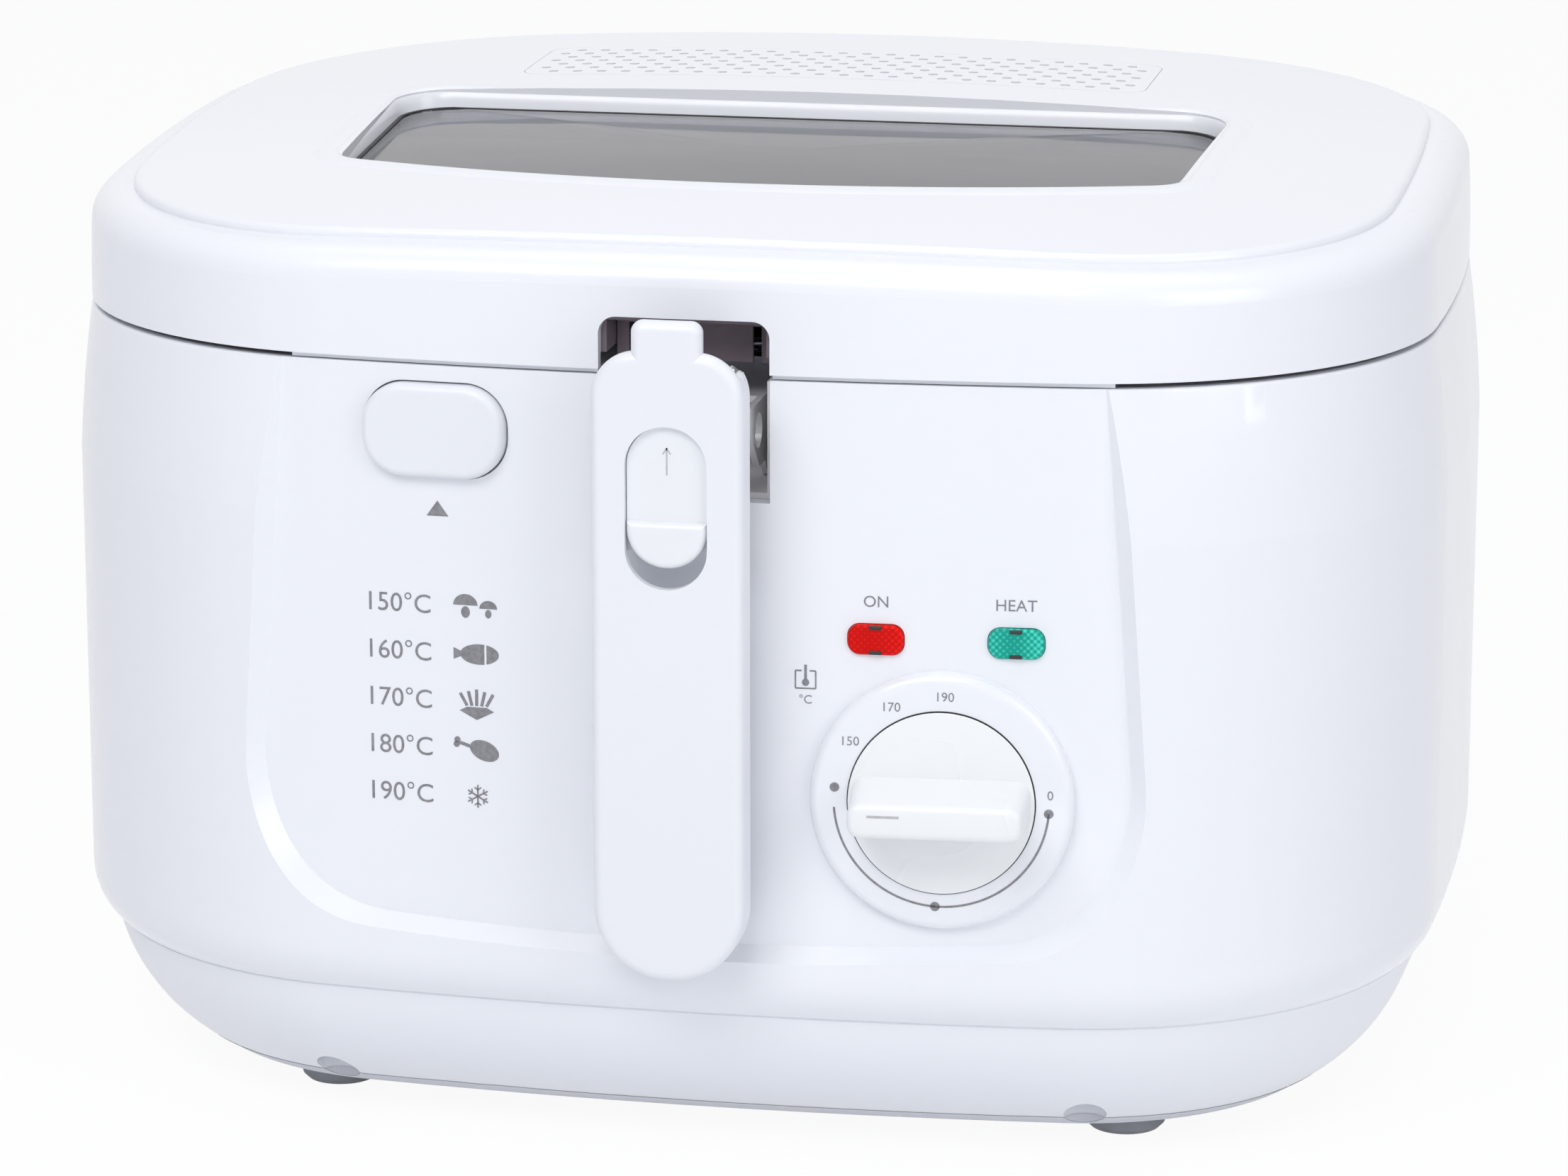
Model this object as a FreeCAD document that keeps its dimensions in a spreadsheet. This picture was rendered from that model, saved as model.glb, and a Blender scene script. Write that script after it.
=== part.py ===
"""Household deep fryer: a parametric assembly in millimetres, front towards -Y, +Z up, feet on Z = 0."""
import FreeCAD, Part
import math
import os
from FreeCAD import Placement, Rotation, Vector

doc = FreeCAD.newDocument("deep_fryer")
sheet = doc.addObject("Spreadsheet::Sheet", "sizes")

SIZES = (
    # outline of the body seen from above
    ("half_width", 165.0), ("half_depth", 132.0),
    ("front_radius", 850.0), ("side_radius", 865.0), ("corner_radius", 86.5),
    # heights and walls of the mouldings
    ("foot_height", 6.0), ("base_seam_z", 36.3), ("housing_top_z", 185.0), ("lid_bottom_z", 186.3),
    ("wall", 2.6), ("deck_thick", 3.0), ("top_inset", 3.5), ("low_inset", 5.0),
    ("base_bottom_inset", 28.0), ("base_lip", 6.0), ("fit_gap", 0.3),
    # recessed front panel
    ("panel_depth", 4.0), ("panel_half_top", 95.0), ("panel_half_low", 103.5), ("panel_low_z", 50.5),
    ("panel_corner", 38.0), ("panel_side_slope", 1.2), ("panel_low_slope", 0.8),
    # slot for the basket bracket
    ("slot_half", 19.5), ("slot_low_z", 157.0), ("notch_top_z", 198.3), ("guide_wall", 1.4),
    # oil tank and collar
    ("tank_half_x", 128.0), ("tank_half_y", 91.0), ("tank_centre_y", 10.0), ("tank_corner", 44.0),
    ("tank_wall", 1.2), ("tank_floor_z", 50.0), ("tank_rim_z", 155.7), ("tank_floor_round", 14.0),
    ("collar_gap", 5.0), ("collar_wall", 2.5), ("collar_low_z", 150.5),
    # lid
    ("lid_lean", 3.0), ("lid_dome_radius", 2000.0), ("lid_dome_z", 221.5), ("lid_tilt", 0.045),
    ("lid_round", 7.5), ("plateau_inset", 14.0), ("plateau_rise", 2.0), ("plateau_round", 1.6),
    ("liner_z", 188.6), ("liner_thick", 1.0),
    ("window_half_rear", 104.0), ("window_half_front", 100.0), ("window_rear_y", 27.0),
    ("window_side_y", -52.0), ("window_front_y", -73.0), ("window_corner", 12.0), ("window_ledge", 6.0),
    ("glass_low_z", 210.2), ("glass_thick", 3.0), ("gasket_thick", 1.0),
    ("grille_half_x", 79.0), ("grille_half_y", 21.0), ("grille_y", 67.0), ("grille_corner", 6.0),
    ("vent_pitch", 6.2), ("vent_radius", 1.25),
    # lid hinge
    ("hinge_y", 141.0), ("hinge_z", 184.0), ("hinge_pin_radius", 2.5), ("hinge_run", 0.05),
    ("knuckle_radius", 7.0), ("knuckle_inner", 14.0), ("knuckle_outer", 44.0), ("lug_width", 12.0),
    # lid button and latch
    ("button_x", -57.8), ("button_z", 170.3), ("button_width", 33.5), ("button_height", 21.4),
    ("button_corner", 9.6), ("button_proud", 3.2), ("button_gap", 0.4), ("button_travel", 3.5),
    # control knob, scale boss and thermostat
    ("knob_x", 58.7), ("knob_z", 90.0), ("knob_radius", 21.2), ("knob_height", 9.0),
    ("boss_radius", 30.0), ("boss_height", 3.2), ("shaft_radius", 3.0), ("shaft_run", 0.05),
    ("grip_width", 11.5), ("grip_rise", 6.5),
    # signal lamps
    ("red_x", 43.5), ("green_x", 75.0), ("lamp_z", 126.7), ("lamp_width", 12.7), ("lamp_height", 7.0),
    ("lamp_corner", 2.8), ("lamp_proud", 1.2), ("lamp_gap", 0.15),
    # folding handle
    ("handle_half", 17.2), ("handle_front_y", -148.0), ("handle_thick", 9.0), ("handle_low_z", 50.2),
    ("handle_top_z", 194.4), ("tab_half", 8.0), ("tab_top_z", 201.4), ("handle_wall", 1.5),
    ("pivot_y", -142.0), ("pivot_z", 189.0), ("pivot_radius", 1.6), ("pivot_run", 0.1),
    ("slider_width", 18.2), ("slider_height", 32.0), ("slider_travel", 4.5), ("slider_top_z", 177.8),
    # basket
    ("basket_half_x", 114.0), ("basket_half_y", 77.0), ("basket_corner", 30.0), ("basket_floor_z", 58.0),
    ("basket_rim_z", 148.0), ("rim_radius", 2.0), ("net_thick", 1.2), ("net_pitch", 11.0), ("net_bar", 1.8),
    ("cheek_outer", 15.0), ("cheek_thick", 1.5), ("bracket_low_z", 163.0), ("bracket_top_z", 178.0),
    # underside
    ("foot_radius", 9.4), ("foot_x", 95.0), ("foot_y", 80.0), ("well_x", 89.0), ("well_y", 105.0),
    ("well_radius", 5.0),
)
for row, (alias, value) in enumerate(SIZES, 1):
    sheet.set("A%d" % row, alias)
    sheet.set("B%d" % row, repr(value))
    sheet.setAlias("B%d" % row, alias)
doc.recompute()


def size(alias):
    return float(sheet.get(alias))


NODES = {}


def keep(label, shape):
    """Store a code-built solid as a document object of its own."""
    item = doc.addObject("Part::Feature", label)
    item.Label = label
    item.Shape = shape
    NODES[label] = item
    return item


# Outline of the body: eight tangent arcs, four pairs mirrored about X and Y

def plan_wire(inset, z):
    a, b = size("half_width"), size("half_depth")
    rf, rs, rc = size("front_radius"), size("side_radius"), size("corner_radius")
    fy, sx = rf - b, a - rs
    span = math.hypot(sx, fy)
    ex, ey = sx / span, -fy / span
    along = ((rf - rc) ** 2 - (rs - rc) ** 2 + span ** 2) / (2 * span)
    across = math.sqrt((rf - rc) ** 2 - along ** 2)
    cx, cy = ex * along - ey * across, fy + ey * along + ex * across
    if cy > 0:
        cx, cy = ex * along + ey * across, fy + ey * along - ex * across
    low = math.atan2(cy - fy, cx)
    side = math.atan2(cy, cx - sx)
    turn = math.pi

    def arc(x, y, radius, start, stop):
        angles = (start, (start + stop) / 2, stop)
        return Part.Arc(*[Vector(x + radius * math.cos(t), y + radius * math.sin(t), z) for t in angles]).toShape()

    return Part.Wire([
        arc(0, fy, rf - inset, -turn - low, low),
        arc(cx, cy, rc - inset, low, side),
        arc(sx, 0, rs - inset, side, -side),
        arc(cx, -cy, rc - inset, -side, -low),
        arc(0, -fy, rf - inset, -low, turn + low),
        arc(-cx, -cy, rc - inset, turn + low, turn + side),
        arc(-sx, 0, rs - inset, turn + side, turn - side),
        arc(-cx, cy, rc - inset, turn - side, turn - low),
    ])


def plan_prism(inset, low, high):
    return Part.Face(plan_wire(inset, low)).extrude(Vector(0, 0, high - low))


def plan_ring(points):
    """Sweep a closed (inset, z) profile round the outline; a third value in a point is the sag of an arc to it."""
    b = size("half_depth")
    edges = []
    for here, there in zip(points, points[1:] + points[:1]):
        p = Vector(0, here[0] - b, here[1])
        q = Vector(0, there[0] - b, there[1])
        sag = there[2] if len(there) == 3 else 0
        if sag:
            chord = q - p
            normal = Vector(0, -chord.z, chord.y).normalize()
            edges.append(Part.Arc(p, (p + q) * 0.5 + normal * sag, q).toShape())
        else:
            edges.append(Part.makeLine(p, q))
    return plan_wire(0, 0).makePipeShell([Part.Wire(edges)], True, False)


def box(x0, x1, y0, y1, z0, z1):
    return Part.makeBox(x1 - x0, y1 - y0, z1 - z0, Vector(x0, y0, z0))


def rod(radius, start, stop):
    """A cylinder from one point to another."""
    start, stop = Vector(*start), Vector(*stop)
    return Part.makeCylinder(radius, (stop - start).Length, start, stop - start)


def middle(edge):
    return edge.valueAt((edge.FirstParameter + edge.LastParameter) / 2)


def rounded(shape, radius, pick):
    return shape.makeFillet(radius, [e for e in shape.Edges if pick(e)])


def upright(edge):
    """True for a straight edge that runs along Z."""
    ends = [v.Point for v in edge.Vertexes]
    return len(ends) == 2 and (ends[0] - ends[1]).cross(Vector(0, 0, 1)).Length < 1e-6


def tub(half_x, half_y, corner, low, high, floor_round=0.0, y=None):
    """A rounded-rectangle block round the tank's centre, with an optional rounding at its floor."""
    y = size("tank_centre_y") if y is None else y
    block = rounded(box(-half_x, half_x, y - half_y, y + half_y, low, high), corner, upright)
    if floor_round:
        block = rounded(block, floor_round, lambda e: abs(middle(e).z - low) < 1e-6)
    return block


def xz_prism(points, y0, y1):
    """A polygon in X and Z pushed along Y."""
    wire = Part.makePolygon([Vector(x, y0, z) for x, z in points] + [Vector(points[0][0], y0, points[0][1])])
    return Part.Face(wire).extrude(Vector(0, y1 - y0, 0))


def yz_prism(points, x0, x1):
    """A polygon in Y and Z pushed along X."""
    wire = Part.makePolygon([Vector(x0, y, z) for y, z in points] + [Vector(x0, points[0][0], points[0][1])])
    return Part.Face(wire).extrude(Vector(x1 - x0, 0, 0))


def along_y(edge):
    ends = [v.Point for v in edge.Vertexes]
    return len(ends) == 2 and (ends[0] - ends[1]).cross(Vector(0, 1, 0)).Length < 1e-6


def holed_face(wires):
    """A flat face from an outer wire and the wires of its holes."""
    return Part.makeFace(wires, "Part::FaceMakerBullseye")


def xz_plate(half_x, z0, z1, corner, y0, y1, x=0.0):
    """A rounded rectangle in X and Z pushed along Y."""
    return rounded(box(x - half_x, x + half_x, y0, y1, z0, z1), corner, along_y)


def panel_frame(x, z):
    """Placement on the floor of the front panel, its local -Y along the panel's outward normal."""
    reach = size("front_radius") - size("panel_depth")
    turn = math.asin(x / reach)
    y = size("front_radius") - size("half_depth") - reach * math.cos(turn)
    return Placement(Vector(x, y, z), Rotation(Vector(0, 0, 1), math.degrees(turn)))


def placed(shape, frame):
    shape = shape.copy()
    shape.transformShape(frame.toMatrix())
    return shape


# Sketch-based bodies

def body(label):
    item = doc.addObject("PartDesign::Body", label)
    item.Label = label
    NODES[label] = item
    return item


def sketch_on(owner, role, offset=0.0):
    plane = [f for f in owner.Origin.OriginFeatures if f.Role == role][0]
    item = owner.newObject("Sketcher::SketchObject", "sketch")
    item.AttachmentSupport = (plane, [""])
    item.MapMode = "FlatFace"
    item.AttachmentOffset = Placement(Vector(0, 0, offset), Rotation())
    return item


def drive(item, names):
    for path, formula in names.items():
        item.setExpression(path, formula)


def sketch_circle(item, radius):
    import Sketcher
    item.addGeometry(Part.Circle(Vector(0, 0, 0), Vector(0, 0, 1), 1.0), False)
    item.addConstraint(Sketcher.Constraint("Coincident", 0, 3, -1, 1))
    item.addConstraint(Sketcher.Constraint("Radius", 0, 1.0))
    item.renameConstraint(1, "radius")
    item.setExpression("Constraints.radius", radius)


def sketch_rounded(item, width, height, corner, start):
    """A centred rounded rectangle whose width, height and corner radius are formulas."""
    import Sketcher
    w, h, r = start[0] / 2, start[1] / 2, start[2]
    ends = ((-w + r, -h, w - r, -h), (w, -h + r, w, h - r), (w - r, h, -w + r, h), (-w, h - r, -w, -h + r))
    for x0, y0, x1, y1 in ends:
        item.addGeometry(Part.LineSegment(Vector(x0, y0, 0), Vector(x1, y1, 0)), False)
    for k, (x, y) in enumerate(((w - r, -h + r), (w - r, h - r), (-w + r, h - r), (-w + r, -h + r))):
        circle = Part.Circle(Vector(x, y, 0), Vector(0, 0, 1), r)
        first = math.radians(270 + 90 * k)
        item.addGeometry(Part.ArcOfCircle(circle, first, first + math.pi / 2), False)
    rule = Sketcher.Constraint
    rules = []
    for k in range(4):
        rules.append(rule("Tangent", k, 2, 4 + k, 1))
        rules.append(rule("Tangent", 4 + k, 2, (k + 1) % 4, 1))
    rules += [rule("Horizontal", 0), rule("Vertical", 1), rule("Horizontal", 2), rule("Vertical", 3)]
    rules += [rule("Equal", 4, 5), rule("Equal", 5, 6), rule("Equal", 6, 7)]
    rules.append(rule("Symmetric", 0, 1, 2, 1, -1, 1))
    item.addConstraint(rules)
    first = item.ConstraintCount
    item.addConstraint(rule("Radius", 4, r))
    item.addConstraint(rule("DistanceX", 3, 1, 1, 2, 2 * w))
    item.addConstraint(rule("DistanceY", 0, 2, 2, 1, 2 * h))
    for k, (name, formula) in enumerate((("corner", corner), ("width", width), ("height", height))):
        item.renameConstraint(first + k, name)
        item.setExpression("Constraints." + name, formula)


def pad(owner, profile, length, back=False):
    item = owner.newObject("PartDesign::Pad", "pad")
    item.Profile = profile
    item.setExpression("Length", length)
    item.Reversed = back
    return item


def pocket(owner, profile, length, back=False):
    item = owner.newObject("PartDesign::Pocket", "pocket")
    item.Profile = profile
    item.setExpression("Length", length)
    item.Reversed = back
    return item


def face_at(feature, direction):
    """Name of the flat face that lies farthest along a direction."""
    doc.recompute()
    direction = Vector(*direction)
    flats = [(f.CenterOfMass.dot(direction), k) for k, f in enumerate(feature.Shape.Faces, 1)
             if f.Surface.TypeId == "Part::GeomPlane" and abs(abs(f.normalAt(0, 0).dot(direction)) - 1) < 1e-6]
    return "Face%d" % max(flats)[1]


def soften(owner, feature, faces, radius):
    item = owner.newObject("PartDesign::Fillet", "fillet")
    item.Base = (feature, faces)
    item.setExpression("Radius", radius)
    return item


# Housing shell: swept wall, deck, recessed panel, tank collar, slot, hinge lugs

wall = size("wall")
top_z, seam_z = size("housing_top_z"), size("base_seam_z") + size("fit_gap")
low_in, top_in = size("low_inset"), size("top_inset")
shoulder_z, heel_z = top_z - 35, seam_z + 11
skin = [(low_in, seam_z), (0, heel_z, 1.4), (0, shoulder_z), (top_in, top_z, 0.45)]
shell = plan_ring(skin + [(top_in + wall, top_z), (wall, shoulder_z, -0.45), (wall, heel_z),
                          (low_in + wall, seam_z, -1.4)])
shell = rounded(shell, 0.8, lambda e: abs(middle(e).z - top_z) < 1e-6 and e.Length > 1
                and abs(e.BoundBox.ZLength) < 1e-6
                and plan_prism(top_in + wall / 2, top_z - 1, top_z + 1).isInside(middle(e), 1e-6, True) is False)
deck_low = top_z - size("deck_thick")
shell = shell.fuse(plan_prism(top_in + wall / 2, deck_low, top_z - 0.4))

depth = size("panel_depth")
lean = (size("panel_half_low") - size("panel_half_top")) / 90.0
panel_low = size("panel_low_z")
near_y, far_y = -size("half_depth") - 2, -size("half_depth") + 22
side_slope, low_slope = size("panel_side_slope"), size("panel_low_slope")
side_back = 11.0 * side_slope


def panel_outline(y):
    """The panel's U-shaped outline on a plane across Y; it narrows with depth so that its border slopes."""
    deep = y - near_y
    low = panel_low - 2 * low_slope + deep * low_slope
    wide = size("panel_half_top") + side_back - deep * side_slope
    bottom, top = wide + lean * (top_z - low), wide - lean * 20
    block = xz_prism([(-bottom, low), (bottom, low), (top, top_z + 20), (-top, top_z + 20)], y, y + 5)
    block = rounded(block, size("panel_corner") - deep * low_slope * 0.4,
                    lambda e: along_y(e) and middle(e).z < low + 1)
    return [f for f in block.Faces if abs(f.CenterOfMass.y - y) < 1e-6][0].OuterWire


cutter = Part.makeLoft([panel_outline(near_y), panel_outline(far_y)], True, True)
field = Part.Face(panel_outline(near_y)).extrude(Vector(0, 30, 0))
backing = plan_prism(wall - 0.6, panel_low - 8, top_z - 0.4).cut(plan_prism(depth + wall, panel_low - 9, top_z + 1))
backing = backing.common(plan_ring(skin + [(80, top_z), (80, seam_z)]))
shell = shell.fuse(backing.common(field))
recess = cutter.common(box(-150, 150, -160, -95, 0, top_z + 5)).cut(plan_prism(depth, 0, top_z + 6))
shell = shell.cut(recess)

collar_x = size("tank_half_x") + size("collar_gap")
collar_y = size("tank_half_y") + size("collar_gap")
collar_r = size("tank_corner") + size("collar_gap")
thick = size("collar_wall")
collar_low = size("collar_low_z")
opening = tub(collar_x, collar_y, collar_r, collar_low + thick, top_z + 2)
collar = tub(collar_x + thick, collar_y + thick, collar_r + thick, collar_low, top_z - 0.4).cut(opening)
tank_hole = tub(size("tank_half_x") + 1.5, size("tank_half_y") + 1.5, size("tank_corner") + 1.5,
                collar_low - 2, collar_low + thick + 1)
shell = shell.cut(opening).fuse(collar.cut(tank_hole))

slot, slot_z = size("slot_half"), size("slot_low_z")
collar_front = size("tank_centre_y") - collar_y
channel = box(-slot - 2.2, slot + 2.2, -size("half_depth") + depth + 1, collar_front, slot_z - 2.2, top_z - 0.4)
shell = shell.fuse(channel)
shell = shell.cut(box(-slot, slot, -160, collar_front + 1, slot_z, top_z + 2))

boss_frame = panel_frame(size("knob_x"), size("knob_z"))
boss = Part.makeCylinder(size("boss_radius"), size("boss_height") + 2, Vector(0, 2, 0), Vector(0, -1, 0))
boss = rounded(boss, 2.4, lambda e: abs(middle(e).y + size("boss_height")) < 1e-6)
shell = shell.fuse(placed(boss, boss_frame))
shaft_hole = Part.makeCylinder(size("shaft_radius") + 1.5, 30, Vector(0, 15, 0), Vector(0, -1, 0))
shell = shell.cut(placed(shaft_hole, boss_frame))
gap = size("lamp_gap")
for lamp in ("red_x", "green_x"):
    hole = xz_plate(size("lamp_width") / 2 + gap, -size("lamp_height") / 2 - gap, size("lamp_height") / 2 + gap,
                    size("lamp_corner") + gap, -12, 12)
    shell = shell.cut(placed(hole, panel_frame(size(lamp), size("lamp_z"))))
gap = size("button_gap")
hole = xz_plate(size("button_width") / 2 + gap, -size("button_height") / 2 - gap, size("button_height") / 2 + gap,
                size("button_corner") + gap, -12, 12)
button_frame = panel_frame(size("button_x"), size("button_z"))
shell = shell.cut(placed(hole, button_frame))
catch_x, catch_y = size("button_x"), -113.5
shell = shell.cut(box(catch_x - 8, catch_x + 8, catch_y - 5, catch_y + 5.5, deck_low - 2, top_z + 2))

hinge_y, hinge_z = size("hinge_y"), size("hinge_z")
lug_in = size("knuckle_outer") + 0.6
lug_out = lug_in + size("lug_width")
lug_r = size("knuckle_radius")
for x0, x1 in ((-lug_out, -lug_in), (lug_in, lug_out)):
    lug = yz_prism([(hinge_y - 12, hinge_z - 24), (hinge_y - 7, hinge_z - 24), (hinge_y + lug_r, hinge_z - 4),
                    (hinge_y + lug_r, hinge_z), (hinge_y - lug_r, hinge_z), (hinge_y - 12, hinge_z - 3)], x0, x1)
    lug = lug.fuse(rod(lug_r, (x0, hinge_y, hinge_z), (x1, hinge_y, hinge_z)))
    shell = shell.fuse(lug.cut(plan_prism(top_in + wall - 0.5, 100, top_z + 30)))
pin_r = size("hinge_pin_radius")
shell = shell.cut(rod(pin_r + size("hinge_run"), (-80, hinge_y, hinge_z), (80, hinge_y, hinge_z)))
gland_x, gland_z = -70.0, 56.0
shell = shell.cut(rod(6.2, (gland_x, 110, gland_z), (gland_x, 145, gland_z)))
shell = shell.removeSplitter()
keep("housing_shell", shell)

# Base tray with lip, floor, screw wells

base_z, seam = size("foot_height"), size("base_seam_z") - size("fit_gap")
floor_in = size("base_bottom_inset")
lip_in = low_in + wall + size("fit_gap") + 0.4
tray = plan_ring([
    (low_in + 0.6, seam, 3.6), (lip_in, seam), (lip_in - 1.2, seam + size("base_lip")),
    (lip_in + 0.8, seam + size("base_lip")), (lip_in + 2.0, seam - 1.5),
    (floor_in - 1, base_z + wall + 1.2, -3.4), (floor_in + 8, base_z + wall), (floor_in + 8, base_z),
    (floor_in, base_z), (floor_in - 2.5, base_z + 1.6),
])
tray = tray.fuse(plan_prism(floor_in + 7, base_z, base_z + wall))
bowl = plan_ring([(low_in + 0.6, seam, 3.6), (80, seam), (80, base_z), (floor_in, base_z),
                  (floor_in - 2.5, base_z + 1.6)])
well = size("well_radius")
wells = [(sx * size("well_x"), sy * size("well_y")) for sx in (-1, 1) for sy in (-1, 1)]
for x, y in wells:
    tray = tray.fuse(rod(well + 2.2, (x, y, base_z), (x, y, 27)).common(bowl))
for x, y in wells:
    tray = tray.cut(rod(well, (x, y, -1), (x, y, 21.5)))
    tray = tray.cut(rod(2.1, (x, y, 20), (x, y, 30)))
foot_spots = [(sx * size("foot_x"), sy * size("foot_y")) for sx in (-1, 1) for sy in (-1, 1)]
for x, y in foot_spots:
    tray = tray.cut(rod(3.0, (x, y, base_z - 1), (x, y, base_z + wall + 1)))
tray = tray.removeSplitter()
keep("base_tray", tray)


def turned(points):
    """A solid turned about Z from (radius, height) points."""
    wire = Part.makePolygon([Vector(r, 0, z) for r, z in points] + [Vector(points[0][0], 0, points[0][1])])
    return Part.Face(wire).revolve(Vector(0, 0, 0), Vector(0, 0, 1), 360)


def copies(shape, spots):
    return Part.makeCompound([shape.translated(Vector(*spot)) for spot in spots])


foot_r = size("foot_radius")
foot = turned([(0, 0), (foot_r - 1.2, 0), (foot_r, 1.2), (foot_r, base_z), (2.9, base_z), (2.9, base_z + wall),
               (4.2, base_z + wall + 0.1), (2.4, base_z + wall + 3), (0, base_z + wall + 3)])
keep("rubber_feet", copies(foot, [(x, y, 0) for x, y in foot_spots]))
screw = turned([(0, 18.9), (1.5, 18.9), (1.5, 18.0), (3.4, 18.0), (3.8, 18.6), (3.8, 21.45), (1.9, 21.45),
                (1.9, 32.0), (0, 34.0)])
keep("base_screws", copies(screw, [(x, y, 0) for x, y in wells]))

# Oil tank, gasket and heating parts under it

tx, ty, tr = size("tank_half_x"), size("tank_half_y"), size("tank_corner")
tw, floor_z, rim_z = size("tank_wall"), size("tank_floor_z"), size("tank_rim_z")
rim = 1.2
tank = tub(tx, ty, tr, floor_z, rim_z, size("tank_floor_round"))
tank = tank.fuse(tub(tx + 4.4, ty + 4.4, tr + 4.4, rim_z - rim, rim_z))
tank = tank.cut(tub(tx - tw, ty - tw, tr - tw, floor_z + tw, rim_z + 1, size("tank_floor_round") - tw))
tank = rounded(tank.removeSplitter(), 1.0, lambda e: abs(middle(e).z - rim_z) < 1e-6 and
               abs(middle(e).x) < tx + 0.5 and abs(middle(e).y - size("tank_centre_y")) < ty + 0.5)
keep("oil_tank", tank)
ledge_z = collar_low + thick
seat = tub(tx + 4.4, ty + 4.4, tr + 4.4, ledge_z, rim_z - rim).cut(tub(tx + 1.8, ty + 1.8, tr + 1.8, 0, 200))
keep("tank_gasket", seat)


def tube(points, radius, bend):
    """A round tube along a polyline with rounded corners."""
    points = [Vector(*p) for p in points]
    edges, here = [], points[0]
    for a, b, c in zip(points, points[1:], points[2:]):
        u, v = (a - b).normalize(), (c - b).normalize()
        half = u.getAngle(v) / 2
        reach = bend / math.tan(half)
        start, stop = b + u * reach, b + v * reach
        centre = b + (u + v).normalize() * (bend / math.sin(half))
        mid_way = centre + (b - centre).normalize() * bend
        edges.append(Part.makeLine(here, start))
        edges.append(Part.Arc(start, mid_way, stop).toShape())
        here = stop
    edges.append(Part.makeLine(here, points[-1]))
    path = Part.Wire(edges)
    ring = Part.Wire(Part.Circle(points[0], points[1] - points[0], radius).toShape())
    return path.makePipeShell([ring], True, False)


tcy = size("tank_centre_y")
heat_z = floor_z - 3.6
element = tube([(40, tcy - 18, 38), (40, tcy - 18, heat_z), (88, tcy - 18, heat_z), (88, tcy - 56, heat_z),
                (-88, tcy - 56, heat_z), (-88, tcy + 56, heat_z), (88, tcy + 56, heat_z), (88, tcy + 12, heat_z),
                (40, tcy + 12, heat_z), (40, tcy + 12, 38)], 3.2, 7.0)
keep("heating_element", element)
shield = tub(tx - 6, ty - 6, tr - 6, 36.4, 42.0).cut(tub(tx - 6.8, ty - 6.8, tr - 6.8, 37.2, 43))
for x, y in ((40, tcy - 18), (40, tcy + 12)):
    shield = shield.cut(rod(5, (x, y, 30), (x, y, 45)))
stud_spots = [(-60, tcy), (60, tcy - 30), (60, tcy + 30)]
for x, y in stud_spots:
    shield = shield.cut(rod(2.8, (x, y, 30), (x, y, 45)))
keep("heat_shield", shield)
stud = turned([(0, 26), (2.5, 26), (2.5, floor_z), (0, floor_z)]).fuse(
    turned([(2.5, 30), (5, 30), (5, 36.4), (2.5, 36.4)]))
keep("tank_studs", copies(stud.removeSplitter(), [(x, y, 0) for x, y in stud_spots]))

# Control parts behind the panel

inside = wall + 0.2
knob_frame = boss_frame
body_block = box(-16, 16, inside, inside + 20, -14, 14)
body_block = rounded(body_block, 2, lambda e: along_y(e))
body_block = body_block.fuse(box(-12, -6, inside + 20, inside + 26, -3, 3)).fuse(
    box(6, 12, inside + 20, inside + 26, -3, 3))
body_block = body_block.cut(Part.makeCylinder(size("shaft_radius") + size("shaft_run"), 14,
                                              Vector(0, inside - 1, 0), Vector(0, 1, 0)))
keep("thermostat", placed(body_block.removeSplitter(), knob_frame))
probe = tube([(58, -100.5, 75.5), (58, -100.5, 47), (20, -100.5, 47), (20, tcy - 70, 47), (-40, tcy - 70, 47)], 1.2, 5)
bulb = rod(2.6, (-40, tcy - 70, 47), (-80, tcy - 70, 47))
keep("sensor_tube", probe.fuse(bulb).removeSplitter())

cutout_block = doc.addObject("Part::Box", "thermal_cutout")
cutout_block.Label = "thermal_cutout"
cutout_block.Length, cutout_block.Width, cutout_block.Height = 24, 16, 8
cutout_block.setExpression("Placement.Base.z", "sizes.tank_floor_z - 8")
cutout_block.Placement.Base = Vector(-12, tcy - 8, floor_z - 8)
NODES["thermal_cutout"] = cutout_block

holder_list = []
for lamp in ("red_x", "green_x"):
    holder = box(-9, 9, wall + 0.1, wall + 16, -6.5, 6.5).cut(box(-6.6, 6.6, wall, wall + 12, -3.8, 3.8))
    holder_list.append(placed(holder, panel_frame(size(lamp), size("lamp_z"))))
keep("lamp_holders", Part.makeCompound(holder_list))


def lens(label, lamp):
    item = body(label)
    sk = sketch_on(item, "XZ_Plane")
    sketch_rounded(sk, "sizes.lamp_width", "sizes.lamp_height", "sizes.lamp_corner", (12.0, 8.0, 2.0))
    front = pad(item, sk, "sizes.lamp_proud")
    flange = sketch_on(item, "XZ_Plane")
    sketch_rounded(flange, "sizes.lamp_width", "sizes.lamp_height", "sizes.lamp_corner", (12.0, 8.0, 2.0))
    stem = pad(item, flange, "sizes.wall + 6", True)
    soften(item, stem, [face_at(stem, (0, -1, 0))], "sizes.lamp_proud * 0.7")
    item.Placement = panel_frame(size(lamp), size("lamp_z"))
    return front


lens("red_lens", "red_x")
lens("green_lens", "green_x")

terminal = doc.addObject("Part::Box", "terminal_block")
terminal.Label = "terminal_block"
terminal.Length, terminal.Width, terminal.Height = 40, 18, 14
terminal.setExpression("Placement.Base.z", "sizes.foot_height + sizes.wall")
terminal.Placement.Base = Vector(-88, 48, base_z + wall)
NODES["terminal_block"] = terminal

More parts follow.
